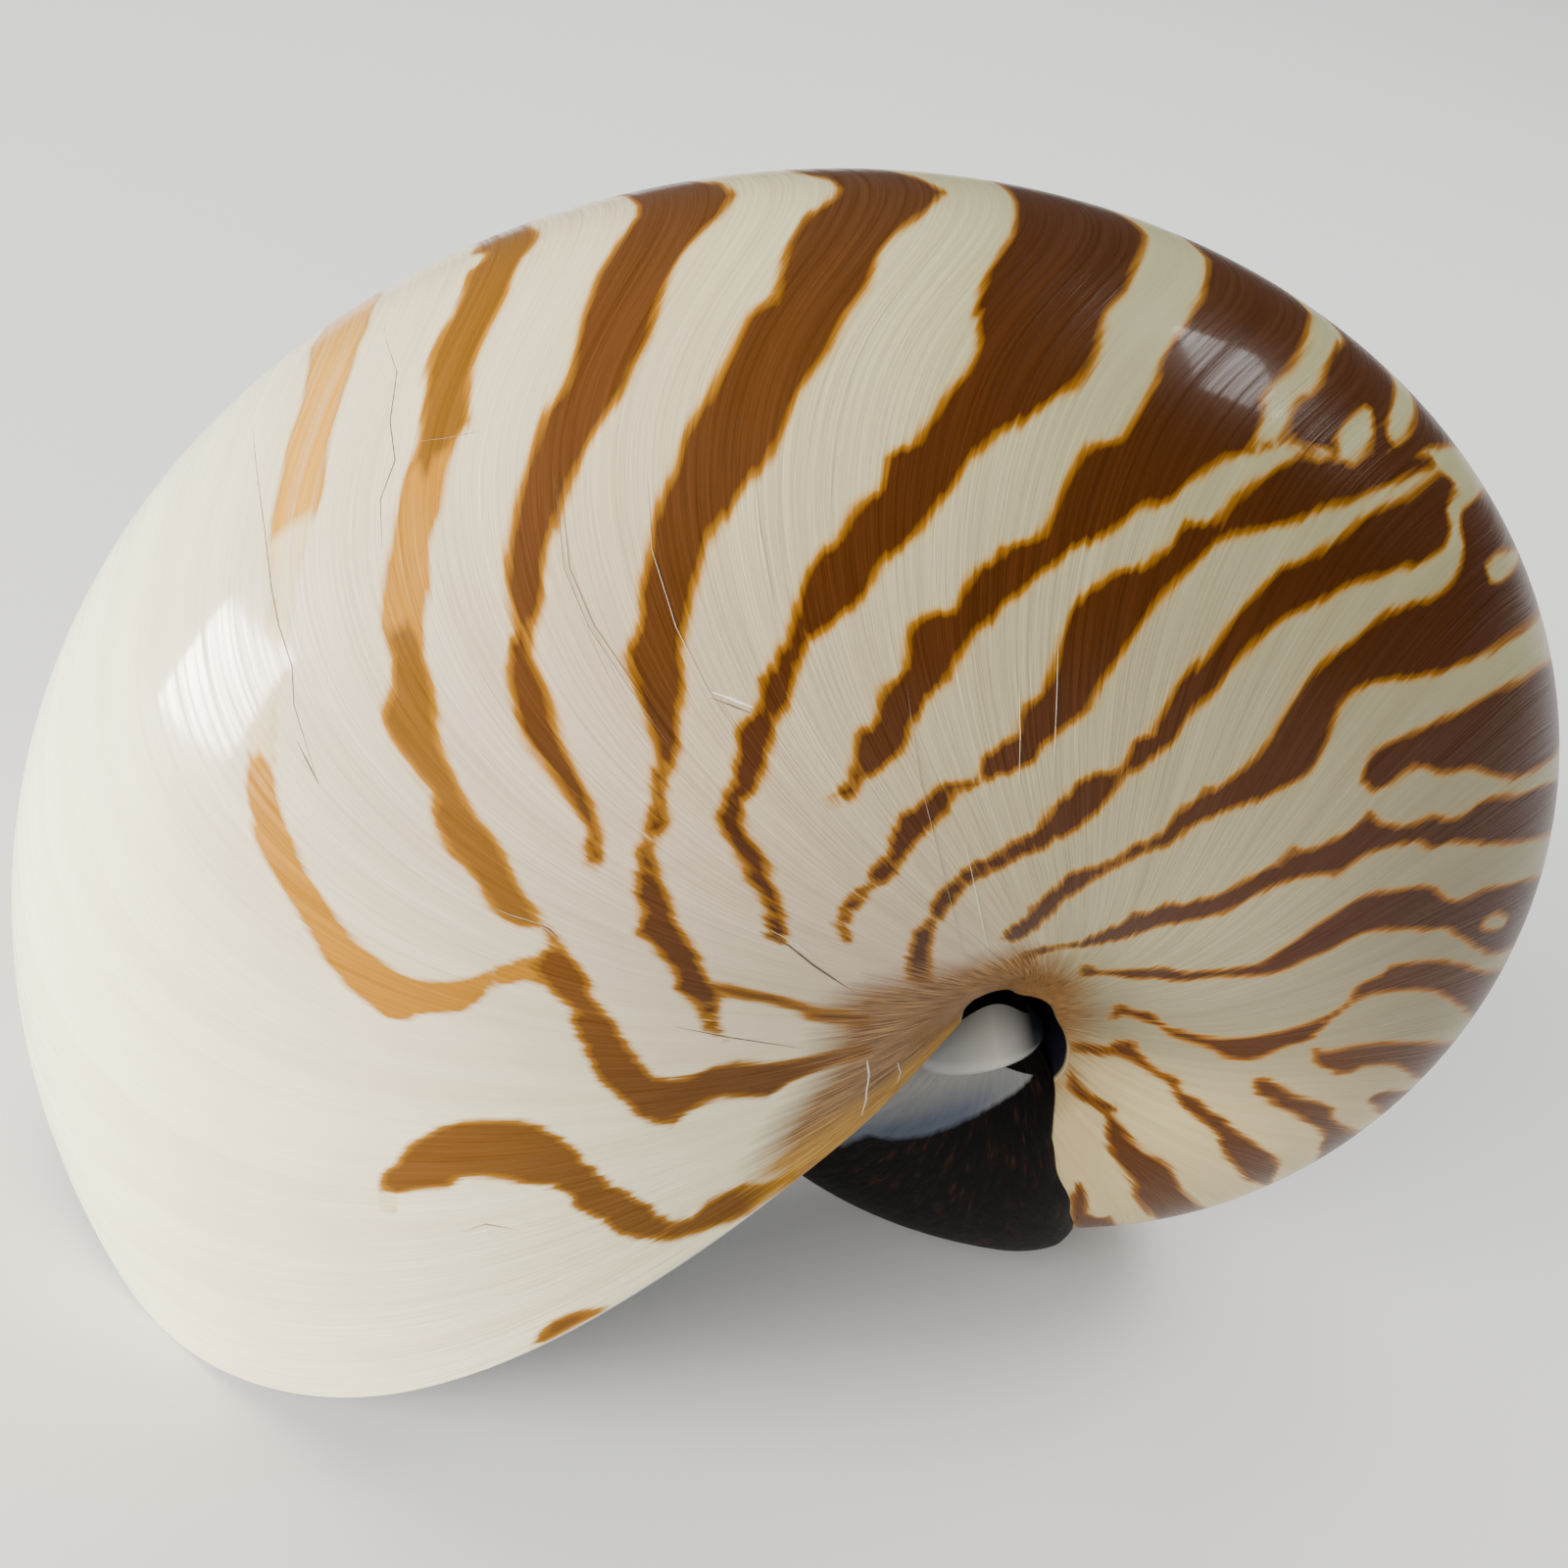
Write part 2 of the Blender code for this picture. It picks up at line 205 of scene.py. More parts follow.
def outer_rows():
    """Near half of the outer wall in rows: points, angles, radius shares, depths and gaps to the rim."""
    angles = np.linspace(WHORL_START, LIP_CREST_ANGLE, WHORL_ROWS + 1)
    steps = np.linspace(0.0, 1.0, FLANK_COLUMNS + 1)
    points, turned, shares, depths, gaps = [], [], [], [], []
    for angle in angles:
        rim = max(read_curve(RIM_RADIUS, np.array([angle]))[0], SMALLEST_RIM) / venter_radius(angle)
        rim_length = np.interp(rim, flank_rho[::-1], flank_length[::-1])
        wanted = rim_length * (0.8 * steps + 0.2 * steps ** 2)
        rho = np.interp(wanted, flank_length, flank_rho)
        lift = read_curve(SHOULDER_LIFT, np.array([angle]))[0]
        omega = np.interp(wanted, flank_length, flank_omega)
        omega = omega + lift * np.clip(1.0 - rho / SHOULDER_SHARE, 0.0, 1.0) ** 1.5
        row, row_turned = leaning(np.full(len(rho), angle), rho, omega)
        rim_point = row[-1]
        wall = [(rim_point[0] * share, rim_point[1] * share,
                 rim_point[2] + (PIT_FLOOR_HEIGHT - rim_point[2]) * deep) for share, deep in PIT_WALL]
        wall.append((0.0, 0.0, PIT_FLOOR_HEIGHT))
        points.append(np.vstack((row, wall)))
        tail = np.full(len(wall), row_turned[-1])
        turned.append(np.concatenate((row_turned, tail)))
        shares.append(np.concatenate((rho, np.full(len(wall), rho[-1]))))
        depths.append(np.concatenate((np.interp(wanted, flank_length, flank_depth),
                                      np.full(len(wall), flank_depth[-1]))))
        outside = (rim_length - wanted) * venter_radius(row_turned)
        inside = -np.linalg.norm(np.array(wall) - rim_point, axis=1)
        gaps.append(np.concatenate((outside, inside)))
    return np.array(points), np.array(turned), np.array(shares), np.array(depths), np.array(gaps)


def both_flanks(near):
    """Rows across both flanks, from the far pit over the venter to the near pit."""
    far = near[:, :0:-1] * (1.0, 1.0, -1.0)
    return np.concatenate((far, near), axis=1)


def both_flanks_value(near, sign=1.0):
    return np.concatenate((sign * near[:, :0:-1], near), axis=1)


def grid_faces(rows, columns, first=0, flipped=False):
    """Four-cornered faces of a grid of points that is stored row by row."""
    corner = (np.arange(rows - 1)[:, None] * columns + np.arange(columns - 1)[None, :]).ravel() + first
    order = (0, 1, columns + 1, columns) if not flipped else (0, columns, columns + 1, 1)
    return np.stack([corner + step for step in order], axis=1)


def make_piece(name, points, faces):
    mesh = bpy.data.meshes.new(name)
    mesh.from_pydata(in_place(points).tolist(), [], [tuple(face) for face in faces.tolist()])
    mesh.shade_smooth()
    piece = bpy.data.objects.new(name, mesh)
    bpy.context.scene.collection.objects.link(piece)
    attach(piece, "root")
    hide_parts("shell")
    return piece


def store(piece, name, values):
    """Keep a number, or three, at every vertex of a piece for its material to read."""
    values = np.asarray(values, float)
    wide = values.ndim > 1
    kept = piece.data.attributes.new(name, "FLOAT_VECTOR" if wide else "FLOAT", "POINT")
    kept.data.foreach_set("vector" if wide else "value", values.ravel())


near_points, near_turned, near_shares, near_depths, near_gaps = outer_rows()
wall_points = both_flanks(near_points)
wall_rows, wall_columns = wall_points.shape[:2]
wall_faces = grid_faces(wall_rows, wall_columns)
outer_wall = make_piece("outer_wall", wall_points.reshape(-1, 3), wall_faces)

wall_turned = both_flanks_value(near_turned)
wall_shares = both_flanks_value(near_shares)
signed_depths = both_flanks_value(near_depths, -1.0)
wall_lag = read_curve(LIP_LAG, wall_shares.ravel()).reshape(wall_shares.shape)
wall_growth = wall_turned + wall_lag
growth_place = np.stack((wall_growth, np.degrees(signed_depths), np.zeros_like(wall_growth)), axis=-1)
store(outer_wall, "growth", growth_place.reshape(-1, 3))

# Brown flames of the outer wall, traced on the near flank. Each is the area between two edges, and
# their points are pixels of the photograph, from the flame's outer end to its inner one.
# Stretches that the second flame shares with its golden middle and its browner zigzag end
SECOND_FRONT_MIDDLE = ((420, 470), (413, 480), (405, 500), (402, 520), (398, 550), (394, 580), (393, 600),
                       (390, 640), (392, 650))
SECOND_BACK_MIDDLE = ((462, 470), (458, 480), (455, 500), (453, 520), (440, 550), (438, 580), (438, 600),
                      (435, 640), (434, 670))
SECOND_FRONT_LOW = ((555, 948), (558, 960), (552, 972), (545, 990), (552, 1005), (565, 1020), (582, 1032),
                    (580, 1043), (588, 1060), (597, 1080), (607, 1100), (625, 1118), (640, 1130),
                    (648, 1142), (665, 1148), (690, 1148), (700, 1135), (715, 1130), (730, 1122),
                    (760, 1121), (790, 1122), (802, 1108), (830, 1096), (860, 1086), (890, 1076))
SECOND_BACK_LOW = ((553, 935), (563, 947), (575, 960), (583, 970), (590, 982), (600, 995), (606, 1010),
                   (615, 1025), (630, 1040), (638, 1060), (652, 1080), (668, 1098), (690, 1101),
                   (710, 1096), (725, 1087), (750, 1082), (780, 1083), (810, 1080), (850, 1070),
                   (890, 1064))
FLAMES = {
    "faint": dict(tone=0.09,
        first=((285, 525), (272, 560), (281, 600), (270, 650), (258, 690), (252, 730), (250, 775)),
        second=((322, 525), (312, 560), (305, 600), (300, 640), (290, 670), (283, 710), (284, 775))),
    "lip_wedge": dict(tone=0.7,
        first=((625, 1332), (590, 1335), (570, 1342), (555, 1350), (548, 1362), (538, 1380)),
        second=((625, 1333), (600, 1350), (570, 1369), (540, 1382))),
    "hook": dict(tone=0.7,
        first=((388, 1215), (390, 1195), (400, 1185), (415, 1170), (430, 1160), (450, 1150), (470, 1143),
               (500, 1141), (530, 1142), (555, 1147), (575, 1160), (590, 1175), (605, 1190), (620, 1203),
               (640, 1215), (660, 1225), (675, 1238), (690, 1245), (700, 1245), (715, 1232), (725, 1222),
               (740, 1215), (760, 1207), (780, 1205), (800, 1200), (818, 1190)),
        second=((388, 1232), (395, 1245), (403, 1240), (405, 1220), (420, 1216), (440, 1214), (460, 1212),
                (465, 1203), (490, 1202), (520, 1205), (545, 1210), (565, 1212), (580, 1222), (585, 1235),
                (605, 1245), (620, 1250), (628, 1260), (640, 1265), (670, 1267), (700, 1265), (715, 1258),
                (735, 1252), (755, 1245), (770, 1235), (785, 1222), (800, 1210), (818, 1198))),
    "first_top": dict(tone=0.3, venter=True,
        first=((345, 312), (322, 330), (318, 350), (315, 370), (310, 400), (305, 420), (293, 450),
               (288, 480), (284, 500), (280, 520), (276, 540), (278, 552)),
        second=((380, 300), (380, 318), (376, 335), (367, 350), (361, 370), (351, 400), (345, 420),
                (336, 450), (332, 480), (334, 500), (325, 520), (318, 540), (308, 552))),
    "first_middle": dict(tone=0.1,
        first=((277, 545), (276, 565), (280, 600), (284, 640), (270, 690), (257, 710), (253, 750),
               (250, 775)),
        second=((310, 545), (305, 565), (301, 600), (298, 640), (290, 690), (282, 710), (277, 750),
                (275, 775))),
    "first_low": dict(tone=0.5,
        first=((250, 772), (250, 800), (252, 820), (257, 840), (263, 860), (273, 880), (284, 900),
               (293, 920), (305, 940), (320, 960), (340, 990), (355, 1010), (375, 1026), (395, 1042),
               (415, 1042), (440, 1037), (470, 1033), (490, 1020), (510, 1008), (530, 1003), (550, 1000)),
        second=((275, 772), (283, 800), (288, 820), (292, 840), (300, 860), (310, 880), (320, 900),
                (331, 920), (345, 940), (362, 957), (380, 970), (400, 985), (415, 995), (440, 999),
                (460, 999), (480, 995), (500, 989), (520, 983), (540, 977), (556, 970))),
    "second": dict(tone=0.62, venter=True,
        first=((508, 232), (497, 250), (492, 265), (475, 280), (470, 300), (460, 320), (448, 340),
               (438, 360), (432, 380), (430, 400), (427, 420), (426, 445), *SECOND_FRONT_MIDDLE,
               (400, 670), (397, 690), (395, 710), (387, 730), (392, 745), (398, 760), (415, 780),
               (428, 800), (442, 812), (437, 835), (445, 850), (455, 870), (480, 890), (485, 910),
               (497, 920), (505, 935), (530, 947), *SECOND_FRONT_LOW),
        second=((562, 226), (548, 250), (535, 265), (528, 280), (522, 300), (512, 320), (500, 340),
                (492, 360), (486, 380), (483, 400), (481, 420), (482, 435), (470, 445),
                *SECOND_BACK_MIDDLE, (440, 690), (445, 710), (448, 740), (453, 760), (462, 780),
                (468, 790), (470, 800), (478, 812), (487, 830), (505, 850), (518, 870), (525, 890),
                (533, 905), (542, 920), *SECOND_BACK_LOW)),
    "second_low": dict(tone=0.78,
        first=((535, 947), *SECOND_FRONT_LOW),
        second=SECOND_BACK_LOW),
    "second_middle": dict(tone=0.5,
        first=((434, 452), *SECOND_FRONT_MIDDLE),
        second=((466, 458), *SECOND_BACK_MIDDLE)),
    "third": dict(tone=0.93, venter=True,
        first=((656, 188), (652, 200), (648, 220), (635, 240), (622, 260), (608, 280), (600, 300),
               (592, 320), (587, 340), (583, 360), (578, 380), (570, 400), (554, 420), (547, 440),
               (542, 460), (535, 480), (527, 500), (523, 520), (520, 540), (516, 560), (514, 580),
               (515, 600), (518, 620), (524, 640), (527, 650), (514, 660), (520, 670), (512, 680),
               (515, 700), (520, 720), (525, 740), (535, 760), (553, 780), (567, 800), (580, 820),
               (592, 840), (598, 850), (589, 862), (596, 875), (593, 886), (601, 892)),
        second=((757, 178), (753, 200), (740, 220), (718, 240), (700, 260), (690, 280), (682, 300),
                (675, 320), (670, 340), (660, 360), (650, 380), (643, 400), (628, 420), (610, 440),
                (600, 460), (590, 480), (582, 500), (575, 520), (570, 540), (563, 560), (560, 580),
                (557, 600), (555, 620), (548, 640), (545, 655), (545, 670), (550, 680), (560, 700),
                (567, 720), (572, 740), (580, 760), (590, 780), (598, 800), (607, 820), (613, 840),
                (617, 850), (620, 862), (622, 875), (615, 886), (606, 892))),
    "fourth": dict(tone=0.95, venter=True,
        first=((860, 172), (852, 190), (848, 200), (835, 210), (818, 220), (805, 240), (800, 250),
               (797, 260), (792, 280), (790, 290), (785, 302), (775, 310), (762, 320), (750, 340),
               (745, 350), (740, 360), (728, 380), (717, 400), (705, 420), (693, 440), (688, 460),
               (682, 480), (673, 500), (667, 520), (662, 540), (657, 560), (653, 580), (648, 600),
               (650, 620), (647, 640), (636, 660), (634, 670), (637, 680), (645, 700), (650, 720),
               (655, 740), (663, 760), (665, 780), (658, 788), (661, 800), (663, 820), (655, 833),
               (655, 848), (649, 860), (645, 870), (647, 880), (642, 890), (646, 900), (640, 915),
               (653, 928), (650, 940), (639, 952), (658, 960), (665, 970), (675, 980), (680, 990),
               (690, 1000), (685, 1009), (697, 1020), (712, 1032), (717, 1045), (715, 1055), (735, 1060)),
        second=((990, 176), (972, 190), (965, 200), (955, 210), (942, 220), (915, 240), (905, 250),
                (898, 260), (893, 280), (888, 292), (880, 302), (875, 310), (868, 320), (858, 340),
                (852, 350), (848, 360), (835, 380), (820, 400), (810, 420), (803, 440), (792, 460),
                (782, 480), (765, 500), (750, 520), (735, 540), (727, 560), (720, 580), (714, 600),
                (708, 620), (705, 640), (702, 660), (700, 670), (702, 680), (702, 700), (701, 720),
                (699, 740), (697, 760), (695, 780), (690, 790), (685, 800), (683, 820), (688, 836),
                (684, 850), (672, 860), (670, 870), (673, 880), (676, 890), (681, 900), (689, 915),
                (690, 930), (696, 943), (702, 952), (708, 960), (714, 970), (720, 980), (724, 990),
                (728, 1000), (731, 1008), (742, 1018), (738, 1030), (734, 1042), (740, 1052), (746, 1062))),
    "fourth_branch": dict(tone=0.75,
        first=((720, 1008), (745, 1018), (780, 1025), (800, 1031), (830, 1043), (860, 1047), (890, 1052)),
        second=((722, 1000), (750, 1003), (780, 1011), (800, 1016), (830, 1026), (860, 1030), (890, 1034))),
    "fifth": dict(tone=1.0, venter=True,
        first=((1034, 185), (1032, 200), (1033, 220), (1030, 240), (1022, 250), (1015, 260), (1005, 280),
               (998, 300), (995, 320), (996, 340), (996, 350), (993, 360), (982, 380), (972, 390),
               (963, 400), (957, 410), (950, 420), (943, 430), (937, 440), (928, 452), (905, 458),
               (899, 468), (897, 480), (892, 496), (880, 502), (872, 512), (866, 520), (855, 540),
               (850, 550), (840, 560), (830, 570), (820, 580), (812, 600), (805, 620), (803, 630),
               (800, 640), (797, 652), (788, 662), (787, 675), (785, 686), (773, 690), (772, 704),
               (774, 715), (768, 726), (754, 733), (749, 748), (749, 765), (746, 780), (743, 792),
               (737, 800), (735, 812), (732, 822), (726, 835), (727, 843), (733, 850), (739, 860),
               (744, 872), (751, 882), (758, 891), (757, 901), (768, 908), (774, 918), (778, 930),
               (780, 942), (777, 954), (790, 963)),
        second=((1186, 222), (1172, 240), (1172, 250), (1168, 260), (1158, 280), (1152, 300), (1143, 310),
                (1133, 320), (1128, 340), (1126, 352), (1122, 365), (1115, 380), (1108, 390), (1100, 400),
                (1085, 410), (1070, 420), (1055, 430), (1040, 440), (1020, 450), (1010, 460), (998, 470),
                (990, 480), (975, 500), (965, 510), (955, 522), (945, 540), (938, 550), (925, 560),
                (910, 570), (902, 580), (895, 602), (880, 620), (865, 630), (850, 640), (840, 650),
                (830, 660), (826, 670), (822, 680), (817, 690), (815, 702), (810, 712), (804, 722),
                (799, 732), (794, 742), (790, 757), (785, 770), (782, 782), (783, 798), (775, 810),
                (765, 820), (760, 832), (762, 842), (766, 852), (775, 862), (782, 871), (787, 880),
                (790, 890), (794, 902), (798, 912), (801, 922), (803, 932), (805, 942), (806, 955),
                (800, 965))),
    "sixth": dict(tone=1.0, venter=True,
        first=((1228, 255), (1228, 275), (1222, 300), (1213, 315), (1205, 330), (1195, 345), (1185, 360),
               (1180, 370), (1178, 385), (1172, 395), (1160, 415), (1150, 430), (1140, 445), (1125, 447),
               (1110, 450), (1100, 458), (1095, 468), (1090, 480), (1080, 495), (1075, 510), (1068, 525),
               (1062, 540), (1050, 548), (1035, 549), (1020, 558), (1010, 571), (995, 570), (990, 580),
               (980, 595), (975, 610), (970, 622), (955, 620), (940, 622), (925, 635), (922, 650),
               (922, 670), (920, 685), (905, 690), (895, 700), (892, 715), (888, 730), (880, 740),
               (870, 745), (868, 760), (866, 780), (864, 795), (852, 806), (842, 818), (840, 823)),
        second=((1490, 455), (1440, 470), (1400, 475), (1365, 470), (1345, 460), (1325, 456), (1310, 461),
                (1295, 465), (1275, 467), (1255, 470), (1240, 480), (1225, 492), (1210, 500), (1200, 512),
                (1180, 517), (1165, 525), (1150, 535), (1130, 550), (1110, 560), (1095, 568), (1080, 580),
                (1065, 590), (1050, 600), (1040, 612), (1025, 620), (1010, 638), (1000, 645), (990, 660),
                (980, 675), (973, 695), (965, 705), (955, 712), (948, 720), (940, 735), (935, 745),
                (930, 760), (925, 770), (915, 780), (895, 792), (880, 800), (875, 815), (860, 820),
                (845, 824))),
    "seventh": dict(tone=1.0,
        first=((1460, 462), (1345, 464), (1332, 459), (1318, 466), (1300, 471), (1290, 477), (1275, 485),
               (1265, 495), (1255, 505), (1245, 520), (1235, 530), (1220, 531), (1210, 523), (1202, 530),
               (1195, 542), (1190, 552), (1180, 560), (1170, 572), (1160, 578), (1145, 575), (1135, 580),
               (1120, 592), (1105, 602), (1095, 613), (1085, 626), (1080, 640), (1075, 655), (1072, 670),
               (1065, 690), (1060, 705), (1045, 715), (1038, 730), (1036, 745), (1028, 754), (1015, 762),
               (1003, 769), (998, 778), (995, 790), (985, 795), (970, 792), (960, 797), (950, 805),
               (940, 815), (930, 820), (920, 828), (912, 840), (905, 855), (903, 870), (895, 878),
               (885, 888), (880, 900), (870, 908), (862, 917), (855, 925), (854, 935), (849, 943),
               (855, 952), (858, 960), (864, 966)),
        second=((1470, 480), (1445, 488), (1425, 497), (1405, 503), (1385, 512), (1365, 520), (1345, 528),
                (1325, 537), (1310, 543), (1290, 543), (1270, 548), (1255, 555), (1240, 562), (1225, 575),
                (1210, 590), (1195, 605), (1180, 625), (1165, 645), (1150, 665), (1135, 685), (1125, 700),
                (1118, 715), (1115, 725), (1105, 735), (1090, 745), (1080, 755), (1070, 765), (1060, 778),
                (1045, 785), (1030, 791), (1015, 797), (1000, 803), (990, 808), (976, 818), (970, 828),
                (962, 840), (950, 850), (940, 860), (930, 872), (922, 885), (915, 895), (905, 903),
                (893, 910), (885, 920), (880, 928), (872, 936), (869, 946), (871, 957), (866, 967))),
    "eighth": dict(tone=1.0,
        first=((1470, 478), (1449, 493), (1435, 505), (1420, 508), (1400, 518), (1385, 525), (1375, 537),
               (1360, 548), (1345, 558), (1330, 568), (1315, 573), (1306, 570), (1300, 580), (1290, 590),
               (1275, 605), (1262, 620), (1250, 635), (1240, 650), (1230, 665), (1215, 678), (1205, 690),
               (1197, 700), (1190, 715), (1180, 730), (1175, 746), (1168, 751), (1155, 752), (1150, 762),
               (1145, 775), (1135, 784), (1120, 785), (1105, 791), (1095, 796), (1090, 806), (1080, 814),
               (1068, 822), (1062, 836), (1056, 846), (1043, 850), (1030, 855), (1020, 865), (1005, 875),
               (990, 880), (980, 888), (970, 897), (958, 905), (950, 918), (947, 930), (938, 942),
               (930, 950), (925, 965), (922, 985), (925, 1003)),
        second=((1492, 500), (1483, 508), (1478, 518), (1480, 530), (1480, 545), (1475, 560), (1465, 568),
                (1450, 577), (1430, 582), (1410, 590), (1390, 598), (1370, 605), (1350, 618), (1330, 627),
                (1310, 635), (1295, 645), (1280, 660), (1265, 678), (1255, 690), (1245, 705), (1235, 715),
                (1220, 730), (1210, 745), (1200, 760), (1185, 770), (1165, 785), (1150, 797), (1140, 812),
                (1125, 828), (1110, 842), (1095, 852), (1080, 860), (1065, 868), (1050, 875), (1035, 882),
                (1020, 890), (1005, 895), (995, 901), (988, 908), (980, 918), (968, 930), (958, 945),
                (955, 960), (952, 975), (952, 990), (955, 1006))),
    "ninth": dict(tone=1.0, venter=True,
        first=((1522, 490), (1512, 500), (1500, 510), (1490, 520), (1490, 545), (1492, 560), (1488, 575),
               (1480, 590), (1470, 600), (1455, 610), (1440, 609), (1430, 615), (1410, 625), (1395, 638),
               (1380, 650), (1365, 658), (1350, 670), (1340, 680), (1330, 692), (1322, 705), (1312, 720),
               (1300, 740), (1295, 750), (1285, 762), (1275, 775), (1260, 787), (1250, 795), (1240, 803),
               (1232, 798), (1227, 806), (1218, 815), (1205, 820), (1195, 832), (1185, 846), (1170, 855),
               (1155, 860), (1145, 868), (1135, 875), (1120, 880), (1105, 885), (1085, 893), (1075, 905),
               (1065, 912), (1050, 923), (1045, 935), (1033, 943), (1022, 950), (1019, 960)),
        second=((1574, 625), (1565, 635), (1555, 645), (1540, 655), (1520, 670), (1500, 680), (1475, 688),
                (1450, 692), (1425, 697), (1400, 700), (1382, 709), (1370, 722), (1365, 735), (1358, 755),
                (1352, 768), (1345, 782), (1335, 795), (1320, 803), (1300, 812), (1275, 822), (1255, 830),
                (1235, 838), (1217, 845), (1207, 856), (1195, 864), (1180, 870), (1165, 875), (1150, 882),
                (1130, 893), (1115, 902), (1100, 910), (1085, 922), (1075, 935), (1060, 948), (1045, 959),
                (1033, 963))),
    "tenth": dict(tone=1.0, venter=True,
        first=((1584, 668), (1570, 678), (1555, 690), (1530, 702), (1500, 716), (1475, 728), (1450, 740),
               (1430, 750), (1412, 757), (1400, 766), (1392, 778), (1388, 797)),
        second=((1592, 768), (1580, 780), (1560, 791), (1545, 797), (1530, 797), (1515, 790), (1500, 787),
                (1480, 790), (1465, 792), (1455, 787), (1445, 785), (1435, 792), (1425, 800), (1412, 811),
                (1400, 808))),
    "eleventh": dict(tone=1.0, venter=True,
        first=((1592, 793), (1580, 798), (1560, 803), (1540, 808), (1522, 812), (1508, 817), (1498, 826),
               (1485, 832), (1470, 832), (1462, 827), (1454, 833), (1440, 839), (1425, 842), (1410, 838),
               (1400, 826), (1397, 812), (1392, 828), (1383, 840), (1370, 848), (1355, 855), (1345, 862),
               (1330, 865), (1320, 862), (1312, 870), (1304, 880), (1290, 885), (1275, 892), (1260, 902),
               (1245, 910), (1225, 915), (1205, 921), (1195, 918), (1180, 925), (1165, 930), (1158, 926),
               (1150, 935), (1140, 942), (1130, 945), (1120, 950), (1105, 958), (1090, 962), (1070, 964),
               (1055, 967), (1040, 972), (1030, 978)),
        second=((1584, 852), (1565, 860), (1545, 863), (1520, 863), (1495, 862), (1475, 865), (1460, 868),
                (1445, 862), (1425, 865), (1400, 870), (1385, 878), (1375, 886), (1363, 895), (1345, 895),
                (1325, 898), (1305, 905), (1285, 915), (1265, 925), (1250, 934), (1235, 938), (1210, 942),
                (1185, 947), (1165, 953), (1150, 960), (1130, 963), (1115, 967), (1095, 968), (1080, 970),
                (1062, 975), (1048, 984), (1032, 987))),
    "twelfth": dict(tone=1.0, venter=True,
        first=((1576, 890), (1550, 898), (1530, 901), (1515, 905), (1500, 913), (1488, 918), (1478, 915),
               (1470, 905), (1460, 901), (1445, 902), (1425, 905), (1405, 908), (1390, 912), (1375, 920),
               (1360, 930), (1345, 940), (1335, 946), (1325, 955), (1310, 965), (1295, 975), (1285, 982),
               (1265, 985), (1245, 988), (1225, 989), (1210, 991), (1195, 987), (1185, 985), (1170, 988),
               (1150, 988), (1130, 990), (1120, 989), (1112, 984), (1103, 984), (1097, 993)),
        second=((1558, 955), (1545, 966), (1530, 973), (1515, 975), (1503, 969), (1493, 962), (1484, 954),
                (1470, 950), (1450, 950), (1430, 950), (1410, 952), (1390, 955), (1375, 961), (1360, 970),
                (1345, 976), (1330, 982), (1315, 990), (1300, 995), (1280, 998), (1255, 998),
                (1230, 1000), (1210, 1003), (1190, 1002), (1175, 999), (1160, 1000), (1140, 998),
                (1122, 996), (1105, 1000), (1098, 998))),
    "thirteenth": dict(tone=0.95, venter=True,
        first=((1544, 985), (1530, 988), (1515, 991), (1505, 987), (1495, 982), (1480, 978), (1460, 978),
               (1445, 981), (1430, 982), (1417, 986), (1408, 995), (1395, 1000), (1385, 1006),
               (1377, 1015), (1368, 1025), (1355, 1034), (1340, 1041), (1325, 1046), (1310, 1050),
               (1290, 1054), (1270, 1057), (1250, 1058), (1228, 1056), (1210, 1051), (1197, 1048),
               (1187, 1045), (1182, 1037), (1174, 1031), (1160, 1030), (1150, 1027), (1142, 1022),
               (1134, 1026), (1127, 1036)),
        second=((1506, 1040), (1495, 1035), (1485, 1027), (1475, 1018), (1460, 1013), (1440, 1012),
                (1420, 1013), (1400, 1017), (1385, 1023), (1373, 1031), (1360, 1041), (1350, 1051),
                (1340, 1060), (1328, 1066), (1315, 1069), (1300, 1075), (1288, 1081), (1272, 1084),
                (1258, 1083), (1245, 1079), (1235, 1072), (1220, 1067), (1205, 1063), (1192, 1058),
                (1183, 1050), (1174, 1045), (1165, 1042), (1155, 1038), (1145, 1037), (1134, 1043),
                (1127, 1041))),
    "fourteenth": dict(tone=0.9, venter=True,
        first=((1300, 1202), (1308, 1187), (1298, 1178), (1290, 1170), (1280, 1162), (1266, 1155),
               (1256, 1148), (1250, 1138), (1238, 1134), (1230, 1128), (1224, 1119), (1210, 1114),
               (1205, 1107), (1206, 1100), (1198, 1096), (1185, 1092), (1175, 1085), (1168, 1077),
               (1161, 1070), (1164, 1063), (1150, 1060), (1136, 1062), (1130, 1067), (1110, 1064),
               (1088, 1058)),
        second=((1282, 1208), (1271, 1205), (1262, 1195), (1255, 1185), (1248, 1178), (1243, 1170),
                (1240, 1160), (1234, 1152), (1225, 1146), (1215, 1139), (1205, 1131), (1200, 1121),
                (1192, 1111), (1185, 1103), (1177, 1098), (1165, 1091), (1154, 1084), (1140, 1079),
                (1125, 1078), (1110, 1076), (1090, 1072))),
    "fifteenth": dict(tone=0.9, venter=True,
        first=((1488, 1060), (1465, 1062), (1440, 1062), (1415, 1061), (1400, 1063), (1385, 1065),
               (1370, 1068), (1355, 1071), (1338, 1067)),
        second=((1454, 1102), (1440, 1100), (1431, 1093), (1422, 1087), (1405, 1088), (1390, 1090),
                (1378, 1096), (1362, 1098), (1347, 1090), (1336, 1078))),
    "sixteenth": dict(tone=0.9, venter=True,
        first=((1394, 1156), (1380, 1152), (1368, 1146), (1361, 1139), (1362, 1130), (1352, 1124),
               (1340, 1121), (1325, 1117), (1312, 1110), (1302, 1104), (1290, 1098), (1277, 1101)),
        second=((1342, 1184), (1345, 1170), (1351, 1160), (1340, 1151), (1325, 1142), (1308, 1132),
                (1292, 1124), (1281, 1118), (1276, 1108))),
    "speck": dict(tone=0.85, venter=True,
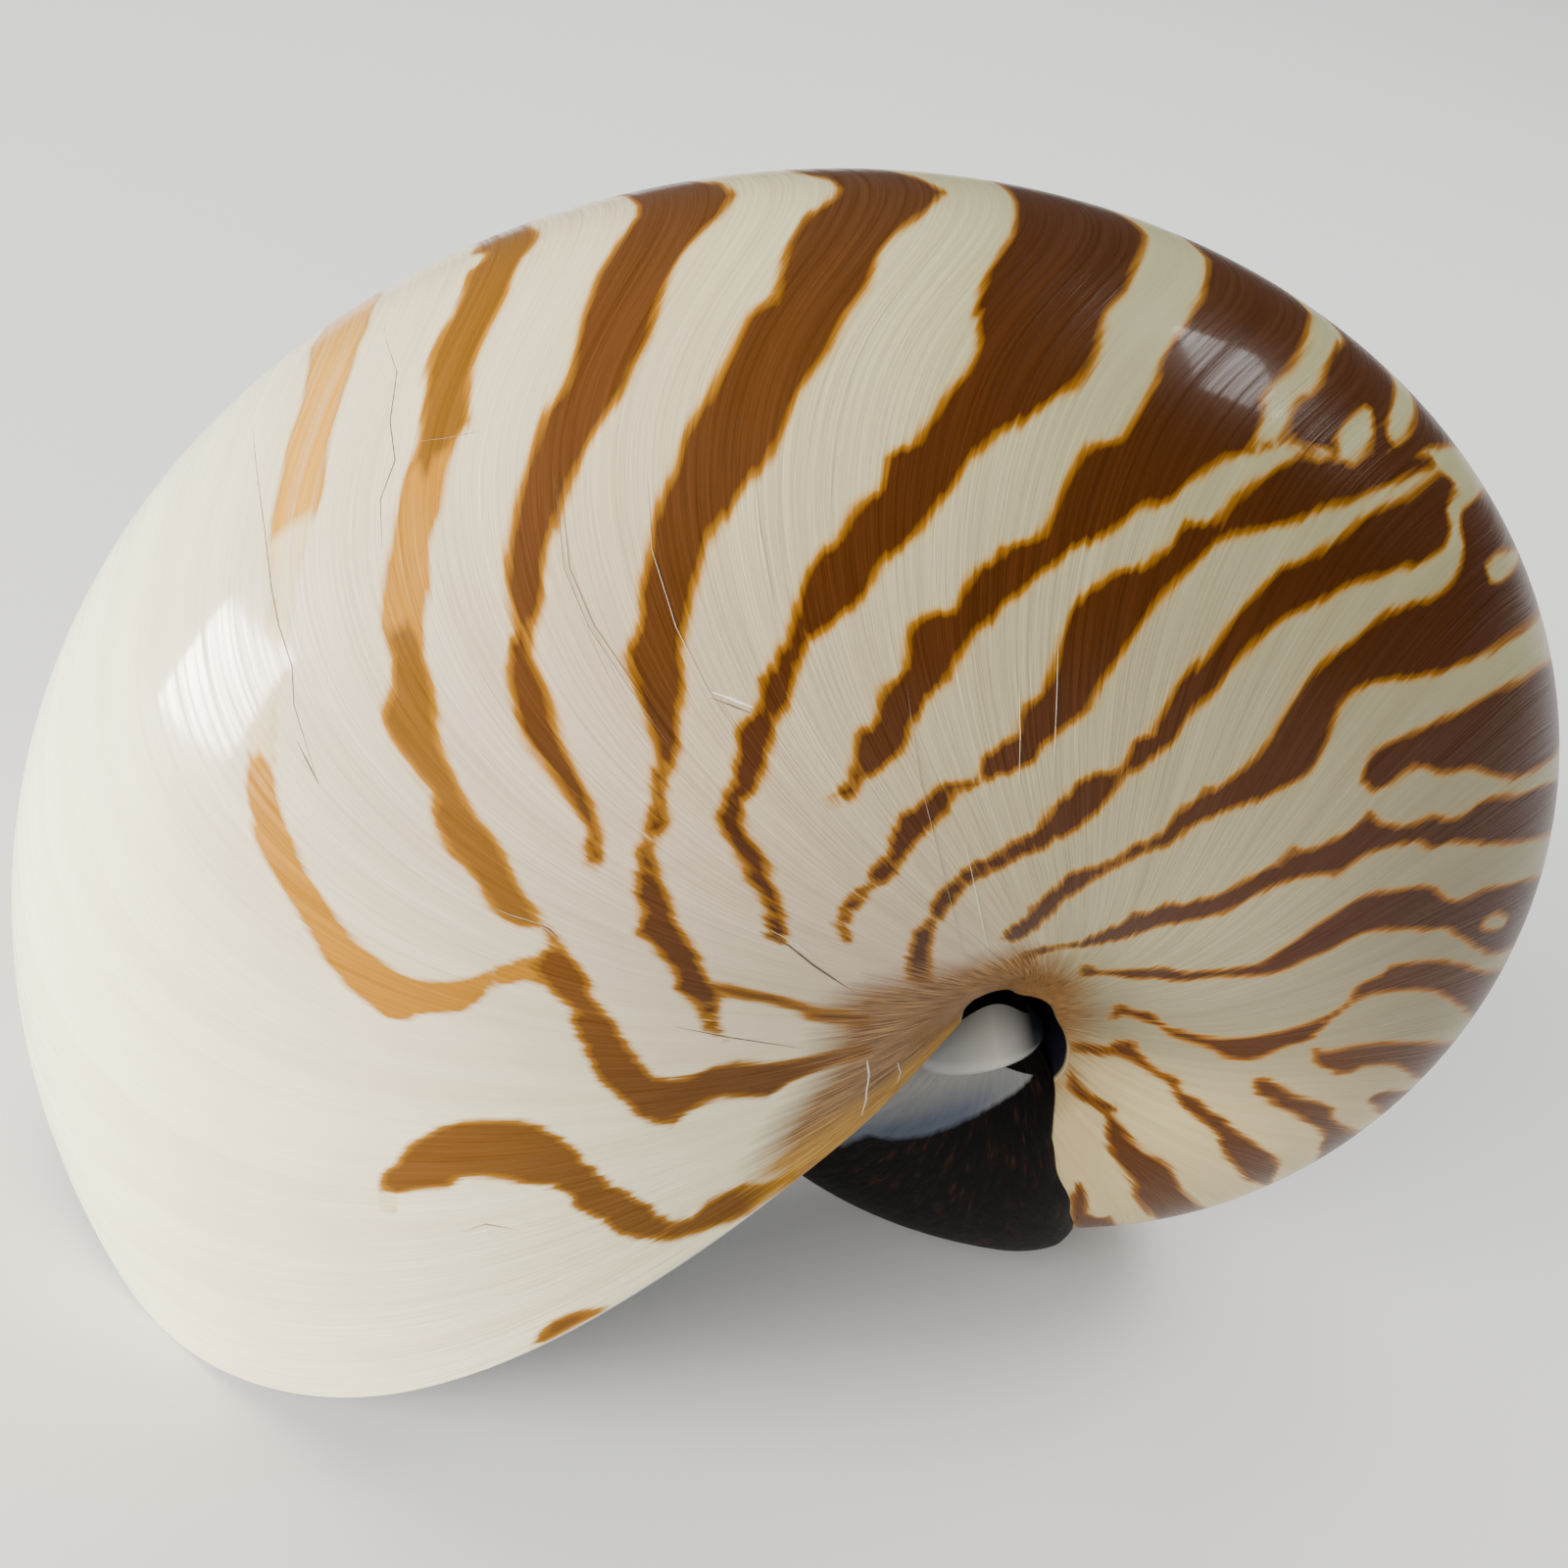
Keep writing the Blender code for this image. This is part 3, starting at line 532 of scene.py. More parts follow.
        first=((1442, 1112), (1430, 1112), (1418, 1111), (1405, 1115), (1394, 1122)),
        second=((1420, 1136), (1412, 1138), (1403, 1132), (1395, 1126))),
    "seventeenth": dict(tone=0.88, venter=True,
        first=((1230, 1232), (1217, 1222), (1207, 1212), (1202, 1200), (1196, 1190), (1185, 1182),
               (1170, 1175), (1158, 1164), (1150, 1152), (1142, 1144), (1136, 1136), (1146, 1130),
               (1138, 1126), (1125, 1121), (1115, 1116), (1105, 1107), (1092, 1090)),
        second=((1178, 1244), (1168, 1235), (1156, 1220), (1155, 1210), (1148, 1200), (1140, 1190),
                (1132, 1178), (1127, 1165), (1125, 1150), (1128, 1139), (1118, 1132), (1105, 1125),
                (1094, 1118), (1086, 1108))),
    "eighteenth": dict(tone=0.85, venter=True,
        first=((1142, 1252), (1133, 1240), (1121, 1242), (1112, 1238), (1113, 1225), (1110, 1214),
               (1104, 1204)),
        second=((1096, 1256), (1092, 1237), (1090, 1220), (1098, 1207))),
}
# White gaps inside the flames
GAPS = {
    "top_gap": dict(venter=True,
        first=((1342, 312), (1341, 335), (1337, 350), (1330, 365), (1320, 380), (1303, 395), (1292, 410),
               (1290, 430), (1284, 449)),
        second=((1368, 345), (1358, 358), (1352, 370), (1345, 386), (1335, 398), (1325, 403), (1315, 416),
                (1310, 431), (1302, 446))),
    "islet_one": dict(
        first=((1396, 418), (1384, 425), (1374, 437), (1368, 450), (1369, 464)),
        second=((1398, 424), (1398, 441), (1390, 456), (1379, 469), (1372, 467))),
    "islet_two": dict(venter=True,
        first=((1426, 396), (1424, 410), (1421, 425), (1418, 440), (1420, 448)),
        second=((1440, 406), (1441, 424), (1434, 438), (1424, 448))),
    "islet_three": dict(
        first=((1550, 562), (1538, 565), (1526, 570), (1518, 580)),
        second=((1548, 572), (1540, 583), (1530, 592), (1521, 589))),
    "islet_four": dict(
        first=((1536, 938), (1524, 934), (1514, 941)),
        second=((1534, 943), (1524, 946), (1515, 945))),
    "islet_five": dict(venter=True,
        first=((1508, 470), (1498, 480), (1490, 490), (1484, 505)),
        second=((1520, 490), (1510, 498), (1500, 506), (1492, 511))),
}
FAR_GAP_SHIFT = 9.0             # degrees by which the far flank's pale islets lie elsewhere
FLAME_CHANGE = 4.0              # degrees by which the far flank's flames stray from the near one's
FLAME_WAVES = 3.1
FLAME_SAG = 0.10                # depth by which they hang lower or higher
SAG_WAVES = 4.3
EDGE_REACH = 6.0                # millimetres kept on each side of a flame's edge
VENTER_OVERLAP = 0.04           # depth by which a flame runs on past the middle of the venter
STEEPEST_RUN = 40.0             # degrees for each unit of depth
SHORTEST_RUN = 0.02

UMBILICUS_PIXEL = (1040, 1040)
# The outer edge of the rusty stain round the pit, from its right side over the top and down to the lip
STAIN_EDGE = ((1082, 1132), (1098, 1112), (1110, 1085), (1116, 1050), (1110, 1018), (1095, 990),
              (1075, 972), (1045, 962), (1010, 972), (975, 982), (930, 988), (880, 1000), (845, 1020),
              (832, 1060), (825, 1100), (800, 1130), (778, 1165), (762, 1200), (770, 1232))
STAIN_BOTTOM = 8.0              # a depth well past the rim of the pit
STAIN_PAST_LIP = 20.0
STAIN_PAST_BACK = 30.0
LOWEST_ANGLE = -115.0           # angles on the outer wall are counted from here
PIXEL_STEPS = 60                # a pixel just outside the shell is moved in by this many steps at most
PIXEL_STRIDE = 2.0
FAR_AWAY = 9.0                  # stands for no edge nearby, in the map's measure
NEARBY = 0.3

wall_tree = BVHTree.FromPolygons(in_place(wall_points.reshape(-1, 3)).tolist(), wall_faces.tolist())


def line_of_sight(x, y):
    """The way the camera looks through a pixel of the photograph."""
    across = (x / PHOTO_SIZE - 0.5) * SENSOR / LENS
    up = (0.5 - y / PHOTO_SIZE) * SENSOR / LENS
    return Vector(camera_axes @ np.array((across, up, -1.0)))


def on_coil(point):
    """A point of the scene in the shell's own coil frame."""
    return (np.array(point) - np.array(COIL_AXIS_PLACE)) @ upright


def flank_place(pixel):
    """Where a pixel of the photograph falls on the outer wall: angle and depth from the venter."""
    x, y = pixel
    for step in range(PIXEL_STEPS):
        hit = wall_tree.ray_cast(camera_spot, line_of_sight(x, y))[0]
        if hit is not None:
            break
        away = math.hypot(UMBILICUS_PIXEL[0] - x, UMBILICUS_PIXEL[1] - y)
        x += PIXEL_STRIDE * (UMBILICUS_PIXEL[0] - x) / away
        y += PIXEL_STRIDE * (UMBILICUS_PIXEL[1] - y) / away
    u, v, w = on_coil(hit)
    angle = (math.degrees(math.atan2(v, u)) - LOWEST_ANGLE) % 360.0 + LOWEST_ANGLE
    radius = venter_radius(angle)
    nearest = np.argmin((flank_rho - math.hypot(u, v) / radius) ** 2 + (flank_omega - abs(w) / radius) ** 2)
    return angle, math.copysign(flank_depth[nearest], w)


def outline(marking):
    """A marking's closed outline in radians and depths, carried over the venter if it runs there."""
    edges = []
    for edge in (marking["first"], marking["second"]):
        places = [flank_place(pixel) for pixel in edge]
        if marking.get("venter"):
            angle, depth = places[0]
            if depth > 0.0:
                further = places[min(2, len(places) - 1)]
                slope = (angle - further[0]) / max(further[1] - depth, SHORTEST_RUN)
                slope = max(min(slope, STEEPEST_RUN), -STEEPEST_RUN)
                places.insert(0, (angle + slope * depth, -VENTER_OVERLAP))
        edges.append(places)
    points = np.array(edges[0] + edges[1][::-1])
    points[:, 0] = np.radians(points[:, 0])
    return points


def depth_inside(points, angles, depths):
    """Distance of places from a marking's outline, more than zero inside it, in the map's measure."""
    place = np.stack((np.radians(angles), depths), axis=-1)
    nearest = np.full(angles.shape, FAR_AWAY)
    inside = np.zeros(angles.shape, bool)
    box_low = points.min(axis=0) - NEARBY
    box_high = points.max(axis=0) + NEARBY
    close = np.all((place > box_low) & (place < box_high), axis=-1)
    local = place[close]
    best = np.full(len(local), FAR_AWAY)
    odd = np.zeros(len(local), bool)
    for start, end in zip(points, np.roll(points, -1, axis=0)):
        along = end - start
        length = max(along @ along, 1e-12)
        share = np.clip(((local - start) @ along) / length, 0.0, 1.0)
        best = np.minimum(best, np.linalg.norm(local - start - share[:, None] * along, axis=1))
        if start[1] != end[1]:
            crosses = (start[1] > local[:, 1]) != (end[1] > local[:, 1])
            odd ^= crosses & (local[:, 0] < start[0] + (local[:, 1] - start[1]) * along[0] / along[1])
    nearest[close] = best
    inside[close] = odd
    return np.where(inside, nearest, -nearest)


def flame_map(angles, depths, scale, gap_shift=0.0):
    """Signed distance from the nearest flame's edge in millimetres, and that flame's tone."""
    best = np.full(angles.shape, -FAR_AWAY)
    tone = np.zeros(angles.shape)
    for name, marking in FLAMES.items():
        found = depth_inside(flame_outlines[name], angles, depths)
        tone = np.where(found >= best, marking["tone"], tone)
        best = np.maximum(best, found)
    for name, marking in GAPS.items():
        moved = 0.0 if marking.get("venter") else gap_shift
        best = np.minimum(best, -depth_inside(gap_outlines[name], angles + moved, depths))
    return np.clip(best * scale, -EDGE_REACH, EDGE_REACH), tone


stain_places = [flank_place(pixel) for pixel in STAIN_EDGE]
back_end = stain_places[0][0] - STAIN_PAST_BACK
lip_end = stain_places[-1][0] + STAIN_PAST_LIP
stain_places += [(lip_end, stain_places[-1][1]), (lip_end, STAIN_BOTTOM),
                 (back_end, STAIN_BOTTOM), (back_end, stain_places[0][1])]
stain_outline = np.array(stain_places)
stain_outline[:, 0] = np.radians(stain_outline[:, 0])
flame_outlines = {name: outline(marking) for name, marking in FLAMES.items()}
gap_outlines = {name: outline(marking) for name, marking in GAPS.items()}
map_scale = 1000.0 * near_shares * venter_radius(near_turned)
near_edge, near_tone = flame_map(near_turned, near_depths, map_scale)
off_venter = smooth_step(near_depths, 0.1, 0.9)
stray = FLAME_CHANGE * off_venter * np.sin(np.radians(near_turned * FLAME_WAVES) + 2.0 * near_depths)
sag = FLAME_SAG * off_venter * np.sin(np.radians(near_turned * SAG_WAVES))
far_edge, far_tone = flame_map(near_turned + stray, near_depths + sag, map_scale, FAR_GAP_SHIFT)
store(outer_wall, "flame_edge", np.concatenate((far_edge[:, :0:-1], near_edge), axis=1).ravel())
store(outer_wall, "flame_tone", np.concatenate((far_tone[:, :0:-1], near_tone), axis=1).ravel())
near_stain = depth_inside(stain_outline, near_turned, near_depths) * map_scale
near_stain = np.clip(near_stain, -EDGE_REACH, EDGE_REACH)
store(outer_wall, "stain_edge", both_flanks_value(near_stain).ravel())
store(outer_wall, "from_rim", 1000.0 * both_flanks_value(near_gaps).ravel())


def new_finish(piece, name):
    """A new material on a piece, for its node tree and its main shader."""
    material = bpy.data.materials.new(name)
    material.use_nodes = True
    piece.data.materials.append(material)
    return material.node_tree, material.node_tree.nodes["Principled BSDF"]


def attribute(tree, name):
    node = tree.nodes.new("ShaderNodeAttribute")
    node.attribute_name = name
    return node


def math_node(tree, kind, first, second=None, third=None, clamp=False):
    node = tree.nodes.new("ShaderNodeMath")
    node.operation = kind
    node.use_clamp = clamp
    for socket, value in zip(node.inputs, (first, second, third)):
        if value is None:
            continue
        if isinstance(value, (int, float)):
            socket.default_value = value
        else:
            tree.links.new(value, socket)
    return node.outputs[0]


# The grain that growth leaves in every layer of the shell, stretched along the growth lines
growth_grain = bpy.data.node_groups.new("growth_grain", "ShaderNodeTree")
growth_grain.interface.new_socket("Place", in_out="INPUT", socket_type="NodeSocketVector")
for socket_name in ("Across", "Along", "Detail", "Breakup"):
    growth_grain.interface.new_socket(socket_name, in_out="INPUT", socket_type="NodeSocketFloat")
growth_grain.interface.new_socket("Grain", in_out="OUTPUT", socket_type="NodeSocketFloat")
grain_in = growth_grain.nodes.new("NodeGroupInput")
grain_out = growth_grain.nodes.new("NodeGroupOutput")
grain_waves = growth_grain.nodes.new("ShaderNodeCombineXYZ")
grain_stretch = growth_grain.nodes.new("ShaderNodeVectorMath")
grain_stretch.operation = "MULTIPLY"
grain_noise = growth_grain.nodes.new("ShaderNodeTexNoise")
grain_noise.inputs["Scale"].default_value = 1.0
for output, entry in ((grain_in.outputs["Across"], grain_waves.inputs["X"]),
                      (grain_in.outputs["Along"], grain_waves.inputs["Y"]),
                      (grain_in.outputs["Place"], grain_stretch.inputs[0]),
                      (grain_waves.outputs[0], grain_stretch.inputs[1]),
                      (grain_stretch.outputs[0], grain_noise.inputs["Vector"]),
                      (grain_in.outputs["Detail"], grain_noise.inputs["Detail"]),
                      (grain_in.outputs["Breakup"], grain_noise.inputs["Roughness"]),
                      (grain_noise.outputs["Fac"], grain_out.inputs["Grain"])):
    growth_grain.links.new(output, entry)


def stretched_noise(tree, place, across, along, detail=3.0, breakup=0.55):
    """Growth grain with so many waves for each degree of growth, and of depth from the venter."""
    node = tree.nodes.new("ShaderNodeGroup")
    node.node_tree = growth_grain
    tree.links.new(place, node.inputs["Place"])
    node.inputs["Across"].default_value = across
    node.inputs["Along"].default_value = along
    node.inputs["Detail"].default_value = detail
    node.inputs["Breakup"].default_value = breakup
    return node.outputs["Grain"]


def ramp(tree, value, stops):
    node = tree.nodes.new("ShaderNodeValToRGB")
    tree.links.new(value, node.inputs["Fac"])
    while len(node.color_ramp.elements) < len(stops):
        node.color_ramp.elements.new(0.5)
    for element, (position, colour) in zip(node.color_ramp.elements, stops):
        element.position = position
        element.color = (*colour, 1.0)
    return node.outputs["Color"]


def mix_colours(tree, factor, first, second, blend="MIX"):
    node = tree.nodes.new("ShaderNodeMix")
    node.data_type = "RGBA"
    node.blend_type = blend
    colours = (node.inputs[6], first), (node.inputs[7], second)
    for socket, value in ((node.inputs["Factor"], factor), *colours):
        if isinstance(value, (int, float)):
            socket.default_value = value
        elif isinstance(value, tuple):
            socket.default_value = (*value, 1.0)
        else:
            tree.links.new(value, socket)
    return node.outputs[2]


def add_bump(tree, surface, height, strength, distance):
    bump = tree.nodes.new("ShaderNodeBump")
    bump.inputs["Strength"].default_value = strength
    bump.inputs["Distance"].default_value = distance
    tree.links.new(height, bump.inputs["Height"])
    tree.links.new(bump.outputs["Normal"], surface.inputs["Normal"])


LONG_TEETH = 1.5                # millimetres by which noise swings the flames' edges
FINE_TEETH = 0.7
VENTER_BAND = 26.0              # degrees of depth over which the painted light on the venter fades
VENTER_PAINTED_LIGHT = (1.14, 1.25, 1.12)
OLD_FLAME_PAINTED_SHADE = (0.86, 0.76, 0.55)
PIT_BLACK_AND_SHADE = (0.008, 0.008, 0.012)
GROWTH_LINE_DEPTH = 0.00025

tree, surface = new_finish(outer_wall, "striped_lime")
place = attribute(tree, "growth").outputs["Vector"]
edge = attribute(tree, "flame_edge").outputs["Fac"]
tone = attribute(tree, "flame_tone").outputs["Fac"]
from_rim = attribute(tree, "from_rim").outputs["Fac"]
place_parts = tree.nodes.new("ShaderNodeSeparateXYZ")
tree.links.new(place, place_parts.inputs[0])
growth_angle = place_parts.outputs["X"]

# The flames: their edges have long and fine teeth, and a dark core fades to a golden fringe
long_teeth = math_node(tree, "SUBTRACT", stretched_noise(tree, place, 0.55, 0.035, detail=2.0), 0.5)
fine_teeth = math_node(tree, "SUBTRACT", stretched_noise(tree, place, 2.2, 0.16), 0.5)
ragged = math_node(tree, "MULTIPLY_ADD", long_teeth, LONG_TEETH, edge)
ragged = math_node(tree, "MULTIPLY_ADD", fine_teeth, FINE_TEETH, ragged)
flame = math_node(tree, "MULTIPLY_ADD", ragged, 0.2, 0.4)

core_colour = ramp(tree, tone, ((0.10, (0.62, 0.36, 0.045)), (0.30, (0.54, 0.24, 0.006)),
                                (0.52, (0.38, 0.165, 0.014)), (0.62, (0.175, 0.075, 0.009)),
                                (0.80, (0.135, 0.050, 0.007)), (0.93, (0.094, 0.035, 0.008)),
                                (1.0, (0.068, 0.0210, 0.004))))
fringe_colour = ramp(tree, flame, ((0.34, (0.56, 0.36, 0.09)), (0.44, (0.40, 0.17, 0.008))))
core_share = math_node(tree, "MULTIPLY_ADD", flame, 7.0, -2.95, clamp=True)
flame_colour = mix_colours(tree, core_share, fringe_colour, core_colour)

lines = stretched_noise(tree, place, 2.4, 0.05, detail=4.0, breakup=0.62)
broad_lines = stretched_noise(tree, place, 0.35, 0.018, breakup=0.5)
streaks = ramp(tree, lines, ((0.36, (0.62, 0.60, 0.58)), (0.62, (1.0, 1.0, 1.0))))
flame_colour = mix_colours(tree, 0.6, flame_colour, streaks, "MULTIPLY")

# The ground between them: whitest towards the lip and darker over the older part, painted shade where that
# side lies away from the lamps, with a pale gold at the oldest end that is painted bounce light from the
# floor
age = math_node(tree, "MULTIPLY_ADD", growth_angle, 1.0 / 200.0, 0.15, clamp=True)
ground = ramp(tree, age, ((0.0, (0.62, 0.50, 0.26)), (0.15, (0.30, 0.26, 0.155)),
                          (0.25, (0.27, 0.24, 0.150)), (0.43, (0.36, 0.32, 0.19)),
                          (0.60, (0.39, 0.345, 0.205)), (0.68, (0.45, 0.385, 0.235)),
                          (0.80, (0.56, 0.44, 0.315)), (0.88, (0.60, 0.50, 0.36)),
                          (0.95, (0.74, 0.65, 0.45)), (1.0, (0.86, 0.78, 0.53))))
# Over the venter, the top of the shell, the ground is turned greener, its own tint, and lifted whiter,
# painted light where the top faces the lamps
venter_share = math_node(tree, "ABSOLUTE", place_parts.outputs["Y"])
venter_share = math_node(tree, "MULTIPLY_ADD", venter_share, -1.0 / VENTER_BAND, 1.15, clamp=True)
ground = mix_colours(tree, venter_share, ground, VENTER_PAINTED_LIGHT, "MULTIPLY")
ground_lines = ramp(tree, lines, ((0.35, (0.74, 0.70, 0.63)), (0.60, (1.0, 1.0, 1.0))))
ground = mix_colours(tree, 0.20, ground, ground_lines, "MULTIPLY")
ground_cloud = ramp(tree, broad_lines, ((0.38, (0.86, 0.83, 0.80)), (0.62, (1.0, 1.0, 1.0))))
ground = mix_colours(tree, 0.6, ground, ground_cloud, "MULTIPLY")

# The flames are darkened and deepened over the older part, painted shade where that side lies away from the
# lamps, and pale ones break up into patches
old_part_shade = math_node(tree, "MULTIPLY_ADD", age, -4.0, 2.2, clamp=True)
flame_colour = mix_colours(tree, old_part_shade, flame_colour, OLD_FLAME_PAINTED_SHADE, "MULTIPLY")
strength = math_node(tree, "MULTIPLY_ADD", flame, 8.0, -2.7, clamp=True)
patchy = math_node(tree, "MULTIPLY_ADD", lines, 1.1, -0.55)
weak = math_node(tree, "MULTIPLY_ADD", tone, 3.0, patchy, clamp=True)
strength = math_node(tree, "MULTIPLY", strength, weak)
coloured = mix_colours(tree, strength, ground, flame_colour)

# The stain round the pit, rusty at the back and golden along the lip, and inside the pit a near black that
# is both the black layer and painted shade in the deep hole
stain_edge = attribute(tree, "stain_edge").outputs["Fac"]
stain_noise = math_node(tree, "SUBTRACT", stretched_noise(tree, place, 0.5, 0.012), 0.5)
stain = math_node(tree, "MULTIPLY_ADD", stain_noise, 6.0, stain_edge)
stain = math_node(tree, "MULTIPLY_ADD", stain, 0.20, 0.30, clamp=True)
stain = math_node(tree, "MULTIPLY", stain, 0.92)
stain_colour = ramp(tree, lines, ((0.38, (0.070, 0.022, 0.004)), (0.49, (0.17, 0.068, 0.014)),
                                  (0.60, (0.40, 0.20, 0.050))))
gold_colour = ramp(tree, lines, ((0.38, (0.19, 0.070, 0.003)), (0.49, (0.37, 0.160, 0.006)),
                                 (0.60, (0.56, 0.32, 0.020))))
near_lip = math_node(tree, "MULTIPLY_ADD", growth_angle, 0.12, -22.6, clamp=True)
stain_colour = mix_colours(tree, near_lip, stain_colour, gold_colour)
coloured = mix_colours(tree, stain, coloured, stain_colour)
# Near black inside the pit: the black layer, and painted shade of the deep hole
in_pit = math_node(tree, "MULTIPLY_ADD", from_rim, -1.6, -0.1, clamp=True)
coloured = mix_colours(tree, in_pit, coloured, PIT_BLACK_AND_SHADE)
tree.links.new(coloured, surface.inputs["Base Color"])

# Growth lines in the surface, and a polish that is strongest on the venter of the youngest part
relief = math_node(tree, "MULTIPLY_ADD", broad_lines, 2.0, lines)
add_bump(tree, surface, relief, 0.4, GROWTH_LINE_DEPTH)
roughness = math_node(tree, "MULTIPLY_ADD", lines, 0.30, 0.17)
tree.links.new(roughness, surface.inputs["Roughness"])
polish = math_node(tree, "MULTIPLY_ADD", lines, 4.5, -1.65, clamp=True)
young = math_node(tree, "MULTIPLY_ADD", age, 3.3, -1.9, clamp=True)
near_venter = math_node(tree, "MULTIPLY", venter_share, 1.9, clamp=True)
young = math_node(tree, "MULTIPLY", young, near_venter)
polish = math_node(tree, "MULTIPLY", polish, math_node(tree, "MULTIPLY_ADD", young, 0.84, 0.16))
tree.links.new(polish, surface.inputs["Coat Weight"])
surface.inputs["Specular IOR Level"].default_value = 0.07
surface.inputs["Coat Roughness"].default_value = 0.10


# Cracks, scratches and growth scars of the outer wall. The animal mended each break from inside, so
# they stand on the wall as hair-fine ridges of lime, bleached pale or dark. The dark of a crack is
# painted shade of its depth, and a dark line laid beside a pale chip or scratch is its painted shadow.
# Each has a width, a shade from 0 for dark to 1 for pale, and its line in pixels of the photograph.
SCARS = (
    (0.32, 0.0, ((390, 320), (395, 350), (405, 380), (398, 430), (403, 470), (388, 510), (390, 560))),
    (0.34, 0.05, ((257, 430), (262, 480), (270, 540), (277, 600), (285, 640), (298, 680), (300, 720),
                  (325, 800))),
    (0.80, 0.25, ((303, 756), (312, 774), (325, 800))),
    # A pale scratch, and beside it a dark line that is its painted shadow
    (0.16, 0.9, ((565, 480), (575, 580), (600, 640), (640, 700), (690, 770))),
    (0.16, 0.2, ((571, 480), (581, 580), (606, 638), (646, 697), (696, 766))),
    (0.16, 0.9, ((660, 480), (665, 560), (690, 640), (720, 700), (750, 745))),
    (0.14, 0.8, ((770, 480), (775, 540), (790, 620))),
    (0.10, 0.7, ((1080, 650), (1078, 720), (1075, 790))),
    (0.10, 0.7, ((1040, 700), (1041, 750), (1040, 800))),
    # A pale chip, and below it a dark line that is its painted shadow
    (0.90, 1.0, ((727, 706), (745, 712), (768, 722))),
    (0.45, 0.1, ((725, 712), (744, 719), (766, 728))),
    (0.35, 0.6, ((500, 925), (522, 934), (545, 941), (565, 946))),
    (0.18, 0.3, ((430, 450), (455, 447), (490, 440))),
    # A dark crack, its dark the painted shade of its depth, with a pale edge beside it
    (0.85, 0.05, ((775, 950), (805, 965), (830, 985), (860, 1005), (872, 1012))),
    (0.40, 0.85, ((786, 949), (812, 962), (838, 983))),
    (0.50, 0.1, ((690, 1048), (740, 1058), (820, 1070))),
    # A pale chip, and beside it a dark line that is its painted shadow
    (0.70, 0.35, ((472, 1257), (495, 1249), (522, 1254))),
    (1.00, 0.9, ((478, 1260), (497, 1256), (516, 1258))),
    (0.80, 0.15, ((552, 944), (560, 948), (568, 956))),
    (0.80, 0.75, ((885, 1082), (887, 1096), (885, 1112))),
    (0.90, 0.70, ((885, 1106), (884, 1122), (879, 1138))),
    (0.50, 0.65, ((916, 1084), (919, 1094), (916, 1104))),
    (0.16, 0.3, ((925, 700), (940, 800), (965, 900), (990, 1000))),
    (0.14, 0.9, ((985, 860), (1000, 930), (1012, 990))),
)
SCAR_HALF_WIDTH = 0.0005        # for a width of 1
SCAR_HEIGHT = 0.00006
SCAR_SINK = 0.00015
SCAR_STEP = 14.0                # pixels between the points of a scar

scar_points, scar_faces, scar_shades = [], [], []
for width, shade, line in SCARS:
    pixels = []
    for (from_x, from_y), (to_x, to_y) in zip(line, line[1:]):
        count = max(1, round(math.hypot(to_x - from_x, to_y - from_y) / SCAR_STEP))
        pixels += [(from_x + (to_x - from_x) * step / count, from_y + (to_y - from_y) * step / count)
                   for step in range(count)]
    pixels.append(line[-1])
    hits = []
    for x, y in pixels:
        hit, normal = wall_tree.ray_cast(camera_spot, line_of_sight(x, y))[:2]
        if hit is not None:
            if normal.dot(line_of_sight(x, y)) > 0.0:
                normal = -normal
            hits.append((np.array(hit), np.array(normal)))
    if len(hits) < 2:
        continue
    first = len(scar_points)
    for number, (hit, normal) in enumerate(hits):
        ahead = hits[min(number + 1, len(hits) - 1)][0] - hits[max(number - 1, 0)][0]
        side = np.cross(ahead, normal)
        side /= np.linalg.norm(side)
        swell = math.sin(math.pi * (number + 0.35) / (len(hits) - 0.3)) ** 0.5
        half = SCAR_HALF_WIDTH * width * swell
        scar_points += [hit - side * half - normal * SCAR_SINK, hit + normal * SCAR_HEIGHT * swell,
                        hit + side * half - normal * SCAR_SINK]
        scar_shades += [shade] * 3
    for number in range(len(hits) - 1):
        low = first + 3 * number
        for corner in range(3):
            following = (corner + 1) % 3
            scar_faces.append((low + corner, low + following, low + 3 + following, low + 3 + corner))
    last = first + 3 * (len(hits) - 1)
    scar_faces += [(first + 2, first + 1, first), (last, last + 1, last + 2)]

scar_mesh = bpy.data.meshes.new("scars")
scar_mesh.from_pydata([tuple(point) for point in scar_points], [], scar_faces)
scars = bpy.data.objects.new("scars", scar_mesh)
bpy.context.scene.collection.objects.link(scars)
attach(scars, "root")
store(scars, "shade", scar_shades)
tree, surface = new_finish(scars, "scar_lime_and_shadow")
# Near black for painted shadows and the painted shade in cracks, pale for bleached lime
scar_colour = ramp(tree, attribute(tree, "shade").outputs["Fac"],
                   ((0.0, (0.055, 0.030, 0.015)), (0.5, (0.42, 0.33, 0.22)), (1.0, (0.85, 0.80, 0.70))))
tree.links.new(scar_colour, surface.inputs["Base Color"])
surface.inputs["Roughness"].default_value = 0.45


# Inner wall of the body chamber and the last septum: mother of pearl, laid on as a smooth lining
# as the shell grew. It meets the outer wall at the lip, which is thin and rounded off.
WALL_THICKNESS = 0.0018
LIP_THICKNESS = 0.0011
LIP_TAPER = 25.0
CHAMBER_CORNER = ((0.20, 1.0), (0.15, 0.85), (0.118, 0.62))
CHAMBER_POST = 0.108
POST_STEPS = 8
SEPTUM_ANGLE = 78.0
SEPTUM_DISH = 0.013
SEPTUM_TINT_TURN = 60.0         # degrees of growth that the septum's play of colour runs through
CHAMBER_ROWS = 90
SEPTUM_STEPS = 40
LIP_ROUND_STEPS = 5


